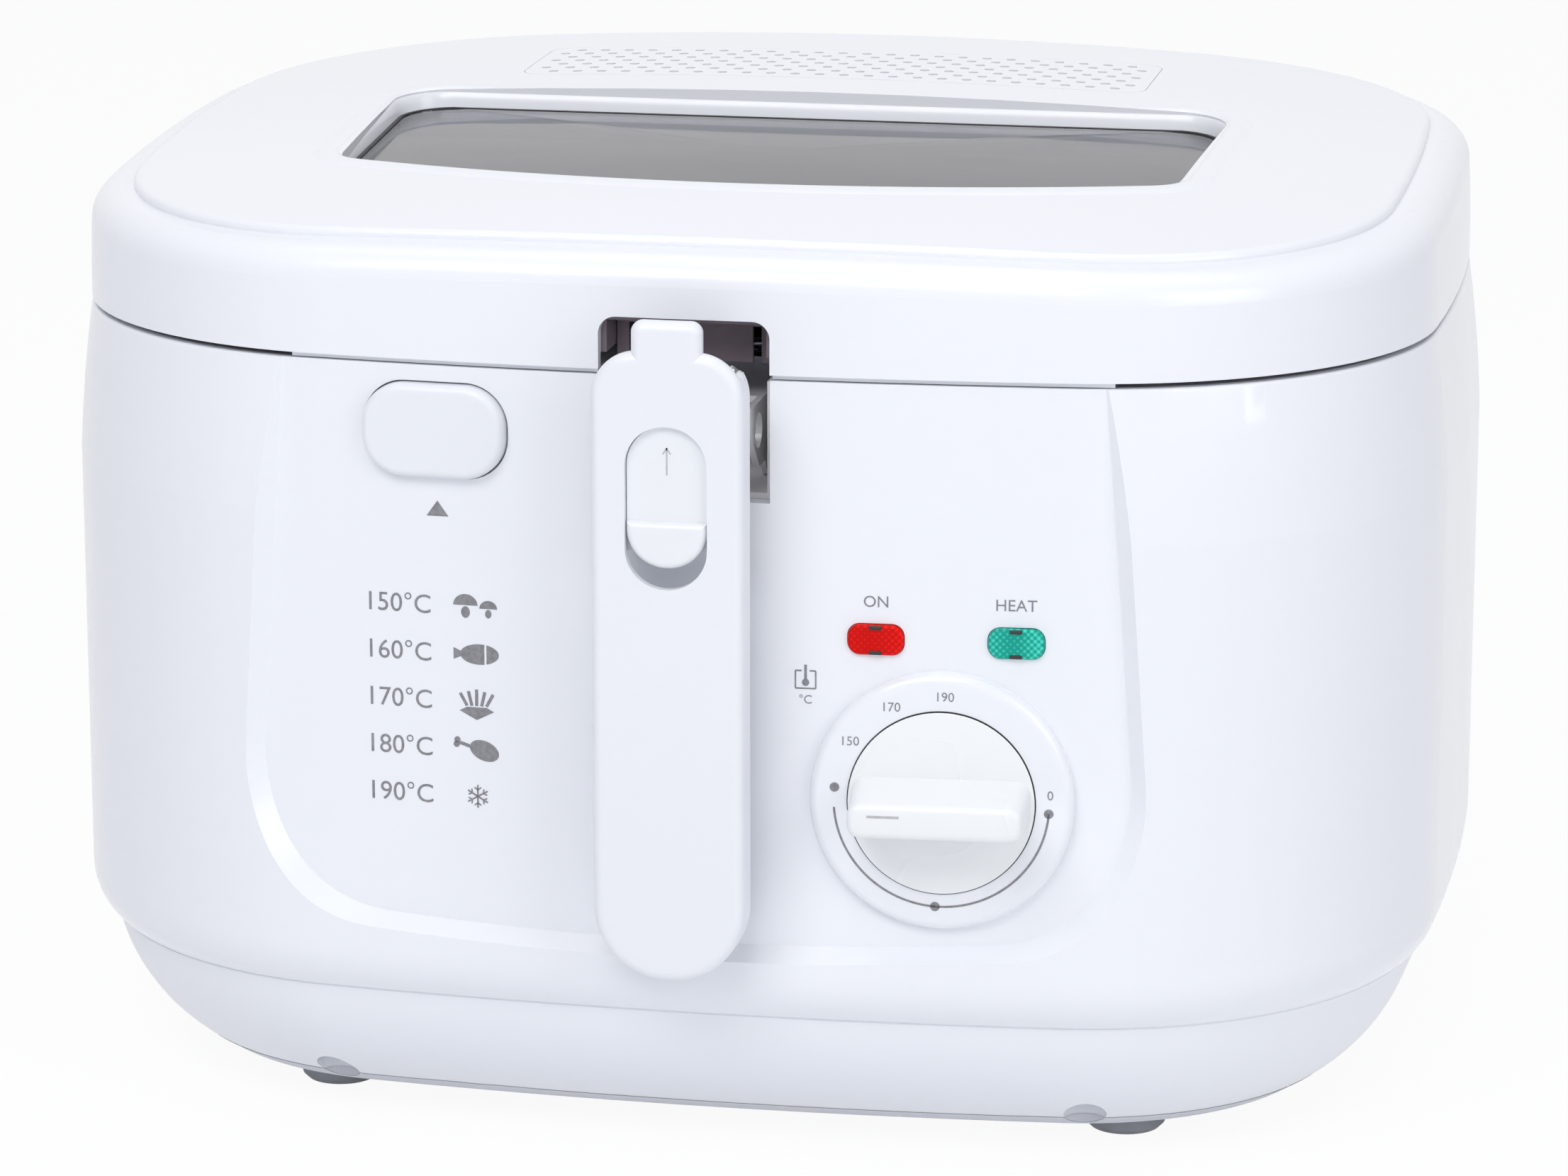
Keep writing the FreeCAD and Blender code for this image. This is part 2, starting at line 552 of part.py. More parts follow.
gland = rod(6.0, (gland_x, 118, gland_z), (gland_x, 142, gland_z))
gland_face = size("half_depth") - gland_x ** 2 / (2 * size("front_radius"))
gland = gland.fuse(rod(9, (gland_x, gland_face + 0.8, gland_z), (gland_x, gland_face + 3.8, gland_z)))
gland = gland.fuse(rod(9, (gland_x, gland_face - 6.6, gland_z), (gland_x, gland_face - 3.6, gland_z)))
gland = gland.cut(rod(3.4, (gland_x, gland_face + 2.4, gland_z), (gland_x, 150, gland_z)))
gland = gland.cut(rod(4.4, (gland_x, 110, gland_z), (gland_x, gland_face + 2.4, gland_z)))
keep("cord_gland", gland.removeSplitter())

guide = size("guide_wall")
liner_u = box(-slot + 0.05, slot - 0.05, -123.6, collar_front - 0.1, slot_z + 0.05, deck_low + 2)
liner_u = liner_u.cut(box(-slot + guide, slot - guide, -160, 0, slot_z + guide, 300))
keep("bracket_guide", liner_u)

# Lid button, latch lever, its pin and leaf spring, all square to the panel

button = body("release_button")
sk = sketch_on(button, "XZ_Plane")
sketch_rounded(sk, "sizes.button_width", "sizes.button_height", "sizes.button_corner", (30.0, 20.0, 8.0))
cap = pad(button, sk, "sizes.button_proud")
sk = sketch_on(button, "XZ_Plane")
sketch_rounded(sk, "sizes.button_width", "sizes.button_height", "sizes.button_corner", (30.0, 20.0, 8.0))
skirt = pad(button, sk, "sizes.wall + 0.4", True)
edge = soften(button, skirt, [face_at(skirt, (0, -1, 0))], "sizes.button_proud * 0.55")
sk = sketch_on(button, "XZ_Plane", -(wall + 0.4))
sketch_rounded(sk, "sizes.button_width + 3", "sizes.button_height + 1.4", "sizes.button_corner", (30.0, 20.0, 8.0))
flange = pad(button, sk, "1.5", True)
sk = sketch_on(button, "XZ_Plane", -(wall + 1.9))
sketch_rounded(sk, "12", "6", "1", (11.0, 7.0, 1.5))
stem = pad(button, sk, "sizes.button_travel + 7", True)
button.Tip = stem
button.Placement = button_frame

stem_end = wall + 1.9 + size("button_travel") + 7
lever_y = stem_end + 0.15
lever = box(-6, 6, lever_y, lever_y + 3, -22, 9)
lever = lever.fuse(Part.makeCylinder(4, 12, Vector(-6, lever_y + 1.5, -22), Vector(1, 0, 0)))
lever = lever.cut(Part.makeCylinder(1.55, 14, Vector(-7, lever_y + 1.5, -22), Vector(1, 0, 0)))
keep("latch_lever", placed(lever.removeSplitter(), button_frame))
latch_rod = Part.makeCylinder(1.5, 22, Vector(-11, lever_y + 1.5, -22), Vector(1, 0, 0))
keep("latch_pin", placed(latch_rod, button_frame))
stand_y = lever_y + 10.5
stand = box(-9.6, 9.6, stand_y, stand_y + 1.6, -27, 8)
for x0, x1, flange in ((-9.6, -8.0, -15), (8.0, 9.6, 15)):
    stand = stand.fuse(box(x0, x1, wall + 0.55, stand_y + 1, -27, -17))
    stand = stand.fuse(box(min(x0, flange), max(x1, flange), wall + 0.55, wall + 2.1, -27, -17))
stand = stand.cut(Part.makeCylinder(1.55, 40, Vector(-20, lever_y + 1.5, -22), Vector(1, 0, 0)))
keep("latch_bracket", placed(stand.removeSplitter(), button_frame))
leaf = yz_prism([(stand_y - 0.05, -14), (stand_y - 0.05, -4), (lever_y + 3.8, 5), (lever_y + 3.2, 5),
                 (stand_y - 0.65, -4.3), (stand_y - 0.65, -14)], -3, 3)
keep("latch_spring", placed(leaf, button_frame))

# Lid hinge pin and coil

pin = doc.addObject("Part::Cylinder", "hinge_pin")
pin.Label = "hinge_pin"
pin.setExpression("Radius", "sizes.hinge_pin_radius")
pin.setExpression("Height", "2 * (sizes.knuckle_outer + 0.6 + sizes.lug_width)")
pin.Placement = Placement(Vector(-lug_out, hinge_y, hinge_z), Rotation(Vector(0, 1, 0), 90))
NODES["hinge_pin"] = pin
coil_r, coil_wire, coil_len = 3.5, 0.75, 22.0
helix = Part.makeHelix(2.2, coil_len, coil_r)
ring = Part.Wire(Part.Circle(Vector(coil_r, 0, 0), Vector(0, 1, 0), coil_wire).toShape())
coil = Part.Wire(helix.Edges).makePipeShell([ring], True, True)
coil.Placement = Placement(Vector(-coil_len / 2, hinge_y, hinge_z), Rotation(Vector(0, 1, 0), 90))
keep("hinge_spring", coil)

# Lid: leaning band under a tilted dome, raised plateau, window well, filter bay

lid_z = size("lid_bottom_z")
dome_r, dome_z, tilt = size("lid_dome_radius"), size("lid_dome_z"), size("lid_tilt")


def dome(lift):
    """A great ball whose skin is the lid's tilted, gently domed top."""
    y = tilt * dome_r
    ball = Part.makeSphere(dome_r)
    centre = Vector(0, y, dome_z + lift - dome_r + y * y / (2 * dome_r))
    return placed(ball, Placement(centre, Rotation(Vector(1, 0, 0), 90)))


def lid_block(inset, low):
    high = dome_z + 14
    lean = size("lid_lean")
    ring = plan_ring([(top_in + inset, low), (top_in + inset + lean, high, 0.8), (72, high), (72, low)])
    return ring.fuse(plan_prism(71, low, high)).removeSplitter()


def ball_edges(shape):
    return [e for f in shape.Faces if f.Surface.TypeId == "Part::GeomSphere" for e in f.OuterWire.Edges]


cover = lid_block(0, lid_z).common(dome(0))
cover = cover.makeFillet(size("lid_round"), ball_edges(cover))
plateau = plan_prism(size("plateau_inset"), 200, dome_z + 20).common(dome(size("plateau_rise")))
plateau = plateau.makeFillet(size("plateau_round"), ball_edges(plateau))
cover = cover.fuse(plateau)


def window_wire(inset, z):
    hr, hf = size("window_half_rear"), size("window_half_front")
    points = [Vector(hr, size("window_rear_y"), z), Vector(-hr, size("window_rear_y"), z),
              Vector(-hf, size("window_side_y"), z), Vector(hf, size("window_side_y"), z)]
    arc = Part.Arc(points[2], Vector(0, size("window_front_y"), z), points[3]).toShape()
    wire = Part.Wire([Part.makeLine(points[3], points[0]), Part.makeLine(points[0], points[1]),
                      Part.makeLine(points[1], points[2]), arc])
    block = rounded(Part.Face(wire).extrude(Vector(0, 0, 5)), size("window_corner"), upright)
    base = [f for f in block.Faces if abs(f.CenterOfMass.z - z) < 1e-6][0]
    return base.OuterWire if not inset else base.OuterWire.makeOffset2D(-inset)


def window_prism(inset, low, high):
    return Part.Face(window_wire(inset, low)).extrude(Vector(0, 0, high - low))


def bay_prism(grow, low, high):
    gx, gy, gr = size("grille_half_x") + grow, size("grille_half_y") + grow, size("grille_corner") + grow
    return tub(gx, gy, gr, low, high, 0, size("grille_y"))


glass_z = size("glass_low_z")
ledge_top = glass_z - size("gasket_thick")
liner_z = size("liner_z")
liner_top = liner_z + size("liner_thick")
notch = size("notch_top_z")
tunnel_y = collar_front + 22
bosses = [(sx * 118, y) for sx in (-1, 1) for y in (-62, 70)]
hollow = lid_block(wall, lid_z - 2).common(dome(-wall))
hollow = hollow.makeFillet(size("lid_round") - wall, ball_edges(hollow))
hollow = hollow.cut(window_prism(-2.4, ledge_top - 2.2, 260))
hollow = hollow.cut(bay_prism(2.2, liner_top + 6, 260))
hollow = hollow.cut(box(-slot - 2.4, slot + 2.4, -140, tunnel_y, liner_top, notch + 2.4))
for x, y in bosses:
    hollow = hollow.cut(rod(4.5, (x, y, liner_top), (x, y, 260)))
cover = cover.cut(hollow)
cover = cover.cut(window_prism(0, ledge_top, 260))
cover = cover.cut(window_prism(size("window_ledge"), 150, 260))
cover = cover.cut(bay_prism(0, 150, 260))
tunnel = rounded(box(-slot, slot, -145, tunnel_y - 2.4, 150, notch), 4.0,
                 lambda e: along_y(e) and middle(e).z > notch - 1)
cover = cover.cut(tunnel)
for x, y in bosses:
    cover = cover.cut(rod(1.5, (x, y, liner_top - 1), (x, y, liner_top + 14)))
keep("lid_shell", cover.removeSplitter())

insert = rounded(box(-slot + 0.05, slot - 0.05, -125.2, tunnel_y - 2.5, liner_top, notch - 0.05), 3.9,
                 lambda e: along_y(e) and middle(e).z > notch - 1)
insert = insert.cut(box(-slot + 1.3, slot - 1.3, -140, 0, 150, notch - 1.3))
keep("lid_notch_liner", insert.removeSplitter())

knuckle_in, knuckle_out = size("knuckle_inner"), size("knuckle_outer")
arm = yz_prism([(size("half_depth") - 5.5, lid_z + 0.6), (hinge_y - 1, lid_z + 0.6), (hinge_y + lug_r, hinge_z),
                (hinge_y + lug_r, hinge_z + 8), (hinge_y - 2, hinge_z + 17), (size("half_depth") - 5.5, hinge_z + 17)],
               -knuckle_out, knuckle_out)
arm = rounded(arm, 4.0, lambda e: middle(e).y > size("half_depth") and middle(e).z > hinge_z + 1
              and abs(middle(e).x) < 1e-6)
arm = arm.cut(lid_block(-0.05, lid_z))
arm = arm.cut(box(-knuckle_in, knuckle_in, hinge_y - 6.5, 170, 150, hinge_z + 7.2))
for x0, x1 in ((-knuckle_out, -knuckle_in), (knuckle_in, knuckle_out)):
    arm = arm.fuse(rod(lug_r, (x0, hinge_y, hinge_z), (x1, hinge_y, hinge_z)))
arm = arm.cut(rod(pin_r + size("hinge_run"), (-80, hinge_y, hinge_z), (80, hinge_y, hinge_z)))
keep("lid_hinge_arm", arm.removeSplitter())

plate = plan_prism(top_in + wall + 1.2, liner_z, liner_top)
plate = plate.cut(window_prism(size("window_ledge"), 150, 260))
plate = plate.cut(box(-slot - 2.4, slot + 2.4, -150, tunnel_y, 150, 260))
for k in range(-5, 6):
    vent = rounded(box(k * 13 - 2.2, k * 13 + 2.2, size("grille_y") - 14, size("grille_y") + 14, 150, 250), 2.1, upright)
    plate = plate.cut(vent)
for x, y in bosses:
    plate = plate.cut(rod(1.7, (x, y, 150), (x, y, 260)))
keep("lid_liner", plate)
seal_out = tub(collar_x + 6, collar_y + 6, collar_r + 6, top_z - 0.2, liner_z)
seal = seal_out.cut(tub(collar_x + 1, collar_y + 1, collar_r + 1, 0, 300))
seal = seal.cut(box(-slot - 3, slot + 3, -200, 0, 0, 300))
seal = seal.cut(box(catch_x - 9, catch_x + 9, -200, -99, 0, 300))
keep("lid_seal", seal)
lid_screw = turned([(0, liner_z - 2.2), (3.2, liner_z - 2.2), (3.2, liner_z - 0.05), (1.45, liner_z - 0.05),
                    (1.45, liner_z + 11), (0, liner_z + 13)])
keep("lid_screws", copies(lid_screw, [(x, y, 0) for x, y in bosses]))
keep("window_glass", window_prism(0.5, glass_z, glass_z + size("glass_thick")))
keep("window_gasket", window_prism(0.5, ledge_top, glass_z).cut(window_prism(size("window_ledge"), 150, 260)))

bay_gap = 0.15
gx, gy = size("grille_half_x") - 4, size("grille_half_y") - 3
pitch = size("vent_pitch")
sheet_face = bay_prism(-bay_gap, 205, 240)
base = [f for f in sheet_face.Faces if abs(f.CenterOfMass.z - 205) < 1e-6][0]
holes = []
row_step = pitch * 0.866
for j in range(-int(gy / row_step), int(gy / row_step) + 1):
    shift = pitch / 2 if j % 2 else 0
    for i in range(-int(gx / pitch) - 1, int(gx / pitch) + 2):
        x = i * pitch + shift
        if abs(x) <= gx:
            centre = Vector(x, size("grille_y") + j * row_step, 205)
            holes.append(Part.Wire(Part.Circle(centre, Vector(0, 0, 1), size("vent_radius")).toShape()))
holed = holed_face([base.OuterWire] + holes)
rise = size("plateau_rise")
grille = holed.extrude(Vector(0, 0, 35)).common(dome(rise)).cut(dome(rise - wall))
keep("filter_grille", grille)
keep("filter_pad", bay_prism(-0.6, liner_top, 211))

catch = box(catch_x - 5, catch_x + 5, catch_y - 1.5, catch_y + 1, 174.6, liner_z)
catch = catch.fuse(box(catch_x - 5, catch_x + 5, catch_y - 4.5, catch_y + 5, liner_z - 1.6, liner_z))
catch = catch.cut(box(catch_x - 3, catch_x + 3, catch_y - 5, catch_y + 2, 176.5, 180.5))
keep("lid_catch", catch.removeSplitter())

# Basket: rim wire, flat nets, corner nets, bracket

bx, by, br = size("basket_half_x"), size("basket_half_y"), size("basket_corner")
bz, brz, net = size("basket_floor_z"), size("basket_rim_z"), size("net_thick")
net_pitch, bar = size("net_pitch"), size("net_bar")


def loop_path(hx, hy, r, z):
    face = [f for f in tub(hx, hy, r, z, z + 5).Faces if abs(f.CenterOfMass.z - z) < 1e-6][0]
    return face.OuterWire


path = loop_path(bx, by, br, brz)
start = path.Edges[0].valueAt(path.Edges[0].FirstParameter)
heading = path.Edges[0].tangentAt(path.Edges[0].FirstParameter)
ring = Part.Wire(Part.Circle(start, heading, size("rim_radius")).toShape())
keep("basket_rim", path.makePipeShell([ring], True, False))


def net_sheet(width, height):
    """A flat net in X and Y with square openings, from the origin."""
    nx = max(1, int((width - bar) / net_pitch))
    ny = max(1, int((height - bar) / net_pitch))
    px, py = (width - bar) / nx, (height - bar) / ny
    wires = [Part.makePolygon([Vector(0, 0, 0), Vector(width, 0, 0), Vector(width, height, 0),
                               Vector(0, height, 0), Vector(0, 0, 0)])]
    for i in range(nx):
        for j in range(ny):
            x0, y0 = bar + i * px, bar + j * py
            x1, y1 = x0 + px - bar, y0 + py - bar
            wires.append(Part.makePolygon([Vector(x0, y0, 0), Vector(x1, y0, 0), Vector(x1, y1, 0),
                                           Vector(x0, y1, 0), Vector(x0, y0, 0)]))
    return holed_face(wires).extrude(Vector(0, 0, net))


net_low, net_high = bz + net, brz - size("rim_radius")
long_x, long_y, tall = 2 * (bx - br), 2 * (by - br), net_high - net_low
lay = {
    "basket_front_net": (long_x, (-bx + br, tcy - by + net / 2, net_low), Rotation(Vector(1, 0, 0), 90)),
    "basket_rear_net": (long_x, (-bx + br, tcy + by + net / 2, net_low), Rotation(Vector(1, 0, 0), 90)),
    "basket_left_net": (long_y, (-bx - net / 2, tcy - by + br, net_low), Rotation(0.5, 0.5, 0.5, 0.5)),
    "basket_right_net": (long_y, (bx - net / 2, tcy - by + br, net_low), Rotation(0.5, 0.5, 0.5, 0.5)),
}
for label, (span, spot, turn) in lay.items():
    panel = net_sheet(span, tall)
    keep(label, placed(panel, Placement(Vector(*spot), turn)))
corner = tub(bx + net / 2, by + net / 2, br + net / 2, net_low, net_high).cut(
    tub(bx - net / 2, by - net / 2, br - net / 2, net_low - 1, net_high + 1))
quarter_list = []
for sx in (-1, 1):
    for sy in (-1, 1):
        cx, cy = sx * (bx - br), tcy + sy * (by - br)
        quarter = corner.common(box(min(cx, cx + sx * 60), max(cx, cx + sx * 60),
                                    min(cy, cy + sy * 60), max(cy, cy + sy * 60), 0, 300))
        rows = max(1, int((tall - bar) / net_pitch))
        step = (tall - bar) / rows
        for i in range(4):
            angle = math.radians(11.25 + 22.5 * i)
            for j in range(rows):
                cut_box = box(br - 5, br + 5, -4.9, 4.9, net_low + bar + j * step, net_low + (j + 1) * step)
                flip = math.degrees(math.atan2(sy * math.sin(angle), sx * math.cos(angle)))
                quarter = quarter.cut(placed(cut_box, Placement(Vector(cx, cy, 0), Rotation(Vector(0, 0, 1), flip))))
        quarter_list.append(quarter)
keep("basket_corner_nets", Part.makeCompound(quarter_list))
floor_path = loop_path(bx + net / 2, by + net / 2, br + net / 2, bz)
holes = []
nx, ny = int(2 * (bx - 4) / net_pitch), int(2 * (by - 4) / net_pitch)
for i in range(nx):
    for j in range(ny):
        x, y = (i - (nx - 1) / 2) * net_pitch, (j - (ny - 1) / 2) * net_pitch
        h = (net_pitch - bar) / 2
        over_x, over_y = abs(x) + h - (bx - br), abs(y) + h - (by - br)
        if max(over_x, 0) ** 2 + max(over_y, 0) ** 2 > (br - 2) ** 2:
            continue
        holes.append(Part.makePolygon([Vector(x - h, tcy + y - h, bz), Vector(x + h, tcy + y - h, bz),
                                       Vector(x + h, tcy + y + h, bz), Vector(x - h, tcy + y + h, bz),
                                       Vector(x - h, tcy + y - h, bz)]))
keep("basket_floor_net", holed_face([floor_path] + holes).extrude(Vector(0, 0, net)))

leg_tall = bz - (floor_z + tw) - 0.1
leg = turned([(0, 0), (1.2, 0), (1.6, 0.5), (1.6, leg_tall), (0, leg_tall)])
leg_low = floor_z + tw + 0.1
leg_spots = [(sx * 88.0, tcy + sy * 55.0, leg_low) for sx in (-1, 1) for sy in (-1, 1)]
keep("basket_legs", copies(leg, leg_spots))

co, ct = size("cheek_outer"), size("cheek_thick")
piv_y, piv_z, piv_r = size("pivot_y"), size("pivot_z"), size("pivot_radius")
arm_low, arm_top = size("bracket_low_z"), size("bracket_top_z")
back_y = tcy - by - size("rim_radius")
rest_z = slot_z + guide + 0.15
hy_wall = size("handle_front_y") + 3.2
eye_r = piv_y - hy_wall - 0.35
eye_side = eye_r * math.sqrt(0.5)
cheek_line = [(piv_y - eye_side, piv_z - eye_side), (piv_y + eye_side, piv_z + eye_side), (-127, arm_top), (back_y, arm_top),
              (back_y, 124), (back_y - 5.5, 124), (back_y - 5.5, arm_low), (collar_front - 4, arm_low),
              (collar_front - 4, rest_z), (collar_front - 20, rest_z), (collar_front - 25, arm_low), (-117, arm_low)]
bracket = None
for x0, x1 in ((-co, -co + ct), (co - ct, co)):
    cheek = yz_prism(cheek_line, x0, x1).fuse(rod(eye_r, (x0, piv_y, piv_z), (x1, piv_y, piv_z)))
    cheek = cheek.cut(rod(piv_r + size("pivot_run"), (x0 - 1, piv_y, piv_z), (x1 + 1, piv_y, piv_z)))
    cheek = cheek.cut(rod(4.0, (x0 - 1, -118, arm_top - 6.5), (x1 + 1, -118, arm_top - 6.5)))
    bracket = cheek if bracket is None else bracket.fuse(cheek)
bracket = bracket.fuse(box(-co, co, back_y - ct, back_y, 124, arm_top))
bracket = bracket.fuse(box(-co, co, -112, back_y, arm_top - ct, arm_top))
keep("basket_bracket", bracket.removeSplitter())

# Folding handle: hollow shell, back plate, pin, screws, lock slider

hh, hy = size("handle_half"), size("handle_front_y")
hz0, hz1 = size("handle_low_z"), size("handle_top_z")
ht, hw = size("handle_thick"), size("handle_wall")
th, tz = size("tab_half"), size("tab_top_z")


def handle_block(inset, y0, y1):
    stem = box(-hh + inset, hh - inset, y0, y1, hz0 + inset, hz1 - inset)
    stem = rounded(stem, 16.6 - inset, lambda e: along_y(e) and middle(e).z < hz0 + inset + 1)
    return rounded(stem, 10.5 - inset, lambda e: along_y(e) and middle(e).z > hz1 - inset - 1)


handle = handle_block(0, hy, hy + ht)
tab = rounded(box(-th, th, hy, hy + 3.2, hz1 - 14, tz), 2.6, lambda e: along_y(e) and middle(e).z > tz - 1)
handle = handle.fuse(tab).removeSplitter()
handle = rounded(handle, 2.2, lambda e: abs(middle(e).y - hy) < 1e-6)
bay = handle_block(hw, hy + 2.0, hy + ht + 1).fuse(box(-hh + hw, hh - hw, hy + 3.2, hy + ht + 1, hz1 - 40, hz1 + 10))
handle = handle.cut(bay)
sw, sh = size("slider_width"), size("slider_height")
s_top, s_move = size("slider_top_z"), size("slider_travel")
play = 0.2
window = xz_plate(sw / 2 + play, s_top - sh - s_move - play, s_top + play, sw / 2 - 0.2 + play, hy - 5, hy + 4)
handle = handle.cut(window)
handle = handle.cut(rod(piv_r + 0.02, (-30, piv_y, piv_z), (30, piv_y, piv_z)))
screw_z = (66.0, 128.0)
for z in screw_z:
    handle = handle.fuse(rod(3.2, (0, hy + 1.5, z), (0, hy + ht - 2.6, z)))
    handle = handle.cut(rod(1.2, (0, hy + 2.5, z), (0, hy + ht, z)))
keep("handle_shell", handle.removeSplitter())
back = handle_block(hw + 0.15, hy + ht - 2.5, hy + ht - 0.4).common(box(-30, 30, -200, 0, 0, s_top - sh - s_move - 4))
for z in screw_z:
    back = back.cut(rod(1.5, (0, hy, z), (0, 0, z)))
    back = back.cut(rod(2.9, (0, hy + ht - 1.6, z), (0, 0, z)))
keep("handle_back", back)
axle = doc.addObject("Part::Cylinder", "handle_pin")
axle.Label = "handle_pin"
axle.setExpression("Radius", "sizes.pivot_radius")
axle.setExpression("Height", "2 * sizes.handle_half - 0.6")
axle.Placement = Placement(Vector(-hh + 0.3, piv_y, piv_z), Rotation(Vector(0, 1, 0), 90))
NODES["handle_pin"] = axle
small = turned([(0, 0), (2.6, 0), (2.6, 0.9), (1.15, 0.9), (1.15, 5), (0, 5)])
small = placed(small, Placement(Vector(0, 0, 0), Rotation(Vector(1, 0, 0), 90)))
keep("handle_screws", copies(small, [(0, hy + ht - 0.65, z) for z in screw_z]))

slider = xz_plate(sw / 2, s_top - sh, s_top, sw / 2 - 0.2, hy + 1.6, hy + 4.2)
thumb = xz_plate(sw / 2, s_top - sh, s_top, sw / 2 - 0.2, hy, hy + 3).common(
    box(-30, 30, -200, 0, 0, s_top - sh + 10.5))
thumb = rounded(thumb, 1.5, lambda e: abs(middle(e).y - hy) < 1e-6)
slider = slider.fuse(thumb).removeSplitter()
foot_plate = box(-13.5, 13.5, hy + 4.2, hy + 5.4, s_top - sh + 3, s_top - 3.2)
keep("handle_slider", slider.fuse(foot_plate).removeSplitter())

# Control knob and its shaft

knob = body("control_knob")
sk = sketch_on(knob, "XZ_Plane", size("boss_height") + 0.6)
sketch_circle(sk, "sizes.knob_radius")
disc = pad(knob, sk, "sizes.knob_height")
rim_edge = soften(knob, disc, [face_at(disc, (0, -1, 0))], "1.6")
sk = sketch_on(knob, "XZ_Plane", size("boss_height") + 0.6 + size("knob_height") - 1.5)
sketch_rounded(sk, "2 * sizes.knob_radius - 2.4", "sizes.grip_width", "3.2", (38.0, 10.0, 3.0))
grip = pad(knob, sk, "sizes.grip_rise + 1.5")
grip_edge = soften(knob, grip, [face_at(grip, (0, -1, 0))], "2.6")
sk = sketch_on(knob, "XZ_Plane", size("boss_height") + 0.6)
sketch_circle(sk, "sizes.shaft_radius + sizes.shaft_run")
bore = pocket(knob, sk, "sizes.knob_height", True)
knob.Tip = bore
knob.Placement = knob_frame

shaft = body("thermostat_shaft")
sk = sketch_on(shaft, "XZ_Plane", -(wall + 8.0))
sketch_circle(sk, "sizes.shaft_radius")
post = pad(shaft, sk, "sizes.wall + 8 + sizes.boss_height + 0.6 + sizes.knob_height - 0.4")
shaft.Tip = post
shaft.Placement = knob_frame

doc.recompute()
os.makedirs("parts", exist_ok=True)
for label, item in NODES.items():
    if "Invalid" in item.State or "Error" in item.State:
        raise RuntimeError("%s did not recompute" % label)
    if item.Shape.isNull() or not item.Shape.isValid() or item.Shape.Volume <= 0:
        raise RuntimeError("%s is not a valid solid" % label)
    item.Shape.exportStep("parts/%s.step" % label)
    bounds = item.Shape.BoundBox
    print("%-20s solids %d faces %4d volume %9.0f  x %.1f..%.1f y %.1f..%.1f z %.1f..%.1f" % (
        label, len(item.Shape.Solids), len(item.Shape.Faces), item.Shape.Volume, bounds.XMin, bounds.XMax,
        bounds.YMin, bounds.YMax, bounds.ZMin, bounds.ZMax))
print("nodes", len(NODES))
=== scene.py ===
# %% [markdown]
# A compact electric deep fryer, dressed in Blender.
# The solid pieces come from the CAD model and keep their shapes. Here they get
# their finishes, and what CAD leaves plain is modelled: the prints, the lens clips,
# the flush knob, the window's rim, seal and pane, the small pieces round the handle
# and the lid's notch, the thin bands at the seams, the latch's leaf spring and the
# woven wire of the basket.

# %% Load the frame
import math

import bpy
from mathutils import Matrix, Vector


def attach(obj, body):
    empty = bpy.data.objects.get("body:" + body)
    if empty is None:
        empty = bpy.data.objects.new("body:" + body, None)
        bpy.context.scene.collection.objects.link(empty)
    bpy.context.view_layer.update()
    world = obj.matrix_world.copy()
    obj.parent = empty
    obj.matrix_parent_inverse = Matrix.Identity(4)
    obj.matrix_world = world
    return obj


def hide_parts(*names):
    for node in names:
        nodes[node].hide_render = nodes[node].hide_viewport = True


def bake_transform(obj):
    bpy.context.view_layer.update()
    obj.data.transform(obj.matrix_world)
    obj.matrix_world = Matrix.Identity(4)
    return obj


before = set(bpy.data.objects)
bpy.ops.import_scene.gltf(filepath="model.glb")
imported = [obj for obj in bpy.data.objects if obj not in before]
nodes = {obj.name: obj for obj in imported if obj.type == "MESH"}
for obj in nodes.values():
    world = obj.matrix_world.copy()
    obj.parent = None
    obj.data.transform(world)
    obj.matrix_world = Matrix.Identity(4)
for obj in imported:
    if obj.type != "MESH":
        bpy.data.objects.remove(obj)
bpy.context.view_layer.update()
bpy.ops.object.select_all(action="DESELECT")
print("CAD pieces:", len(nodes))

# %% [markdown]
# The camera comes first, because every later choice is judged through it.
# It stands a little to the right of the front and looks down gently. A long lens
# keeps the upright walls almost parallel, as in a catalogue picture.

# %% Camera
FRAME_WIDTH = 2212
FOCAL_PIXELS = 8400
AZIMUTH = math.radians(11.04)
ELEVATION = math.radians(13.99)
DISTANCE = 1.468
AIM = Vector((-0.00223, 0.0, 0.10532))

towards_camera = Vector((
    math.sin(AZIMUTH) * math.cos(ELEVATION),
    -math.cos(AZIMUTH) * math.cos(ELEVATION),
    math.sin(ELEVATION),
))
bpy.ops.object.camera_add(
    location=AIM + towards_camera * DISTANCE,
    rotation=(math.pi / 2 - ELEVATION, 0, AZIMUTH),
)
camera = bpy.context.object
camera.name = "product_camera"
camera.data.sensor_width = 36
camera.data.lens = 36 * FOCAL_PIXELS / FRAME_WIDTH
camera.data.clip_end = 50
bpy.context.scene.camera = camera
print("lens in mm:", round(camera.data.lens, 1))

# %% [markdown]
# A white product is lit almost evenly, and its form shows only where the light
# falls off a little. The world gives a cool base that is dimmer to the left and the
# right, so the side walls darken towards their edges. One large softbox stands in
# front and above, and it is also what the lid's front edge reflects. A second hangs
# overhead for the top, and a third stands at the right for that side. To the camera,
# in a reflection and through glass, the world is plain white.

# %% World
AMBIENT_COLOUR = (0.93, 0.95, 1.0, 1)
AMBIENT_STRENGTH = 0.585
SIDE_FALLOFF = -0.28
PURE_WHITE = (1, 1, 1, 1)


def calculated(tree, operation, *values):
    """The result of a Math node whose inputs are sockets or plain numbers."""
    node = tree.nodes.new("ShaderNodeMath")
    node.operation = operation
    for socket, value in zip(node.inputs, values):
        if isinstance(value, float):
            socket.default_value = value
        else:
            tree.links.new(value, socket)
    return node.outputs[0]


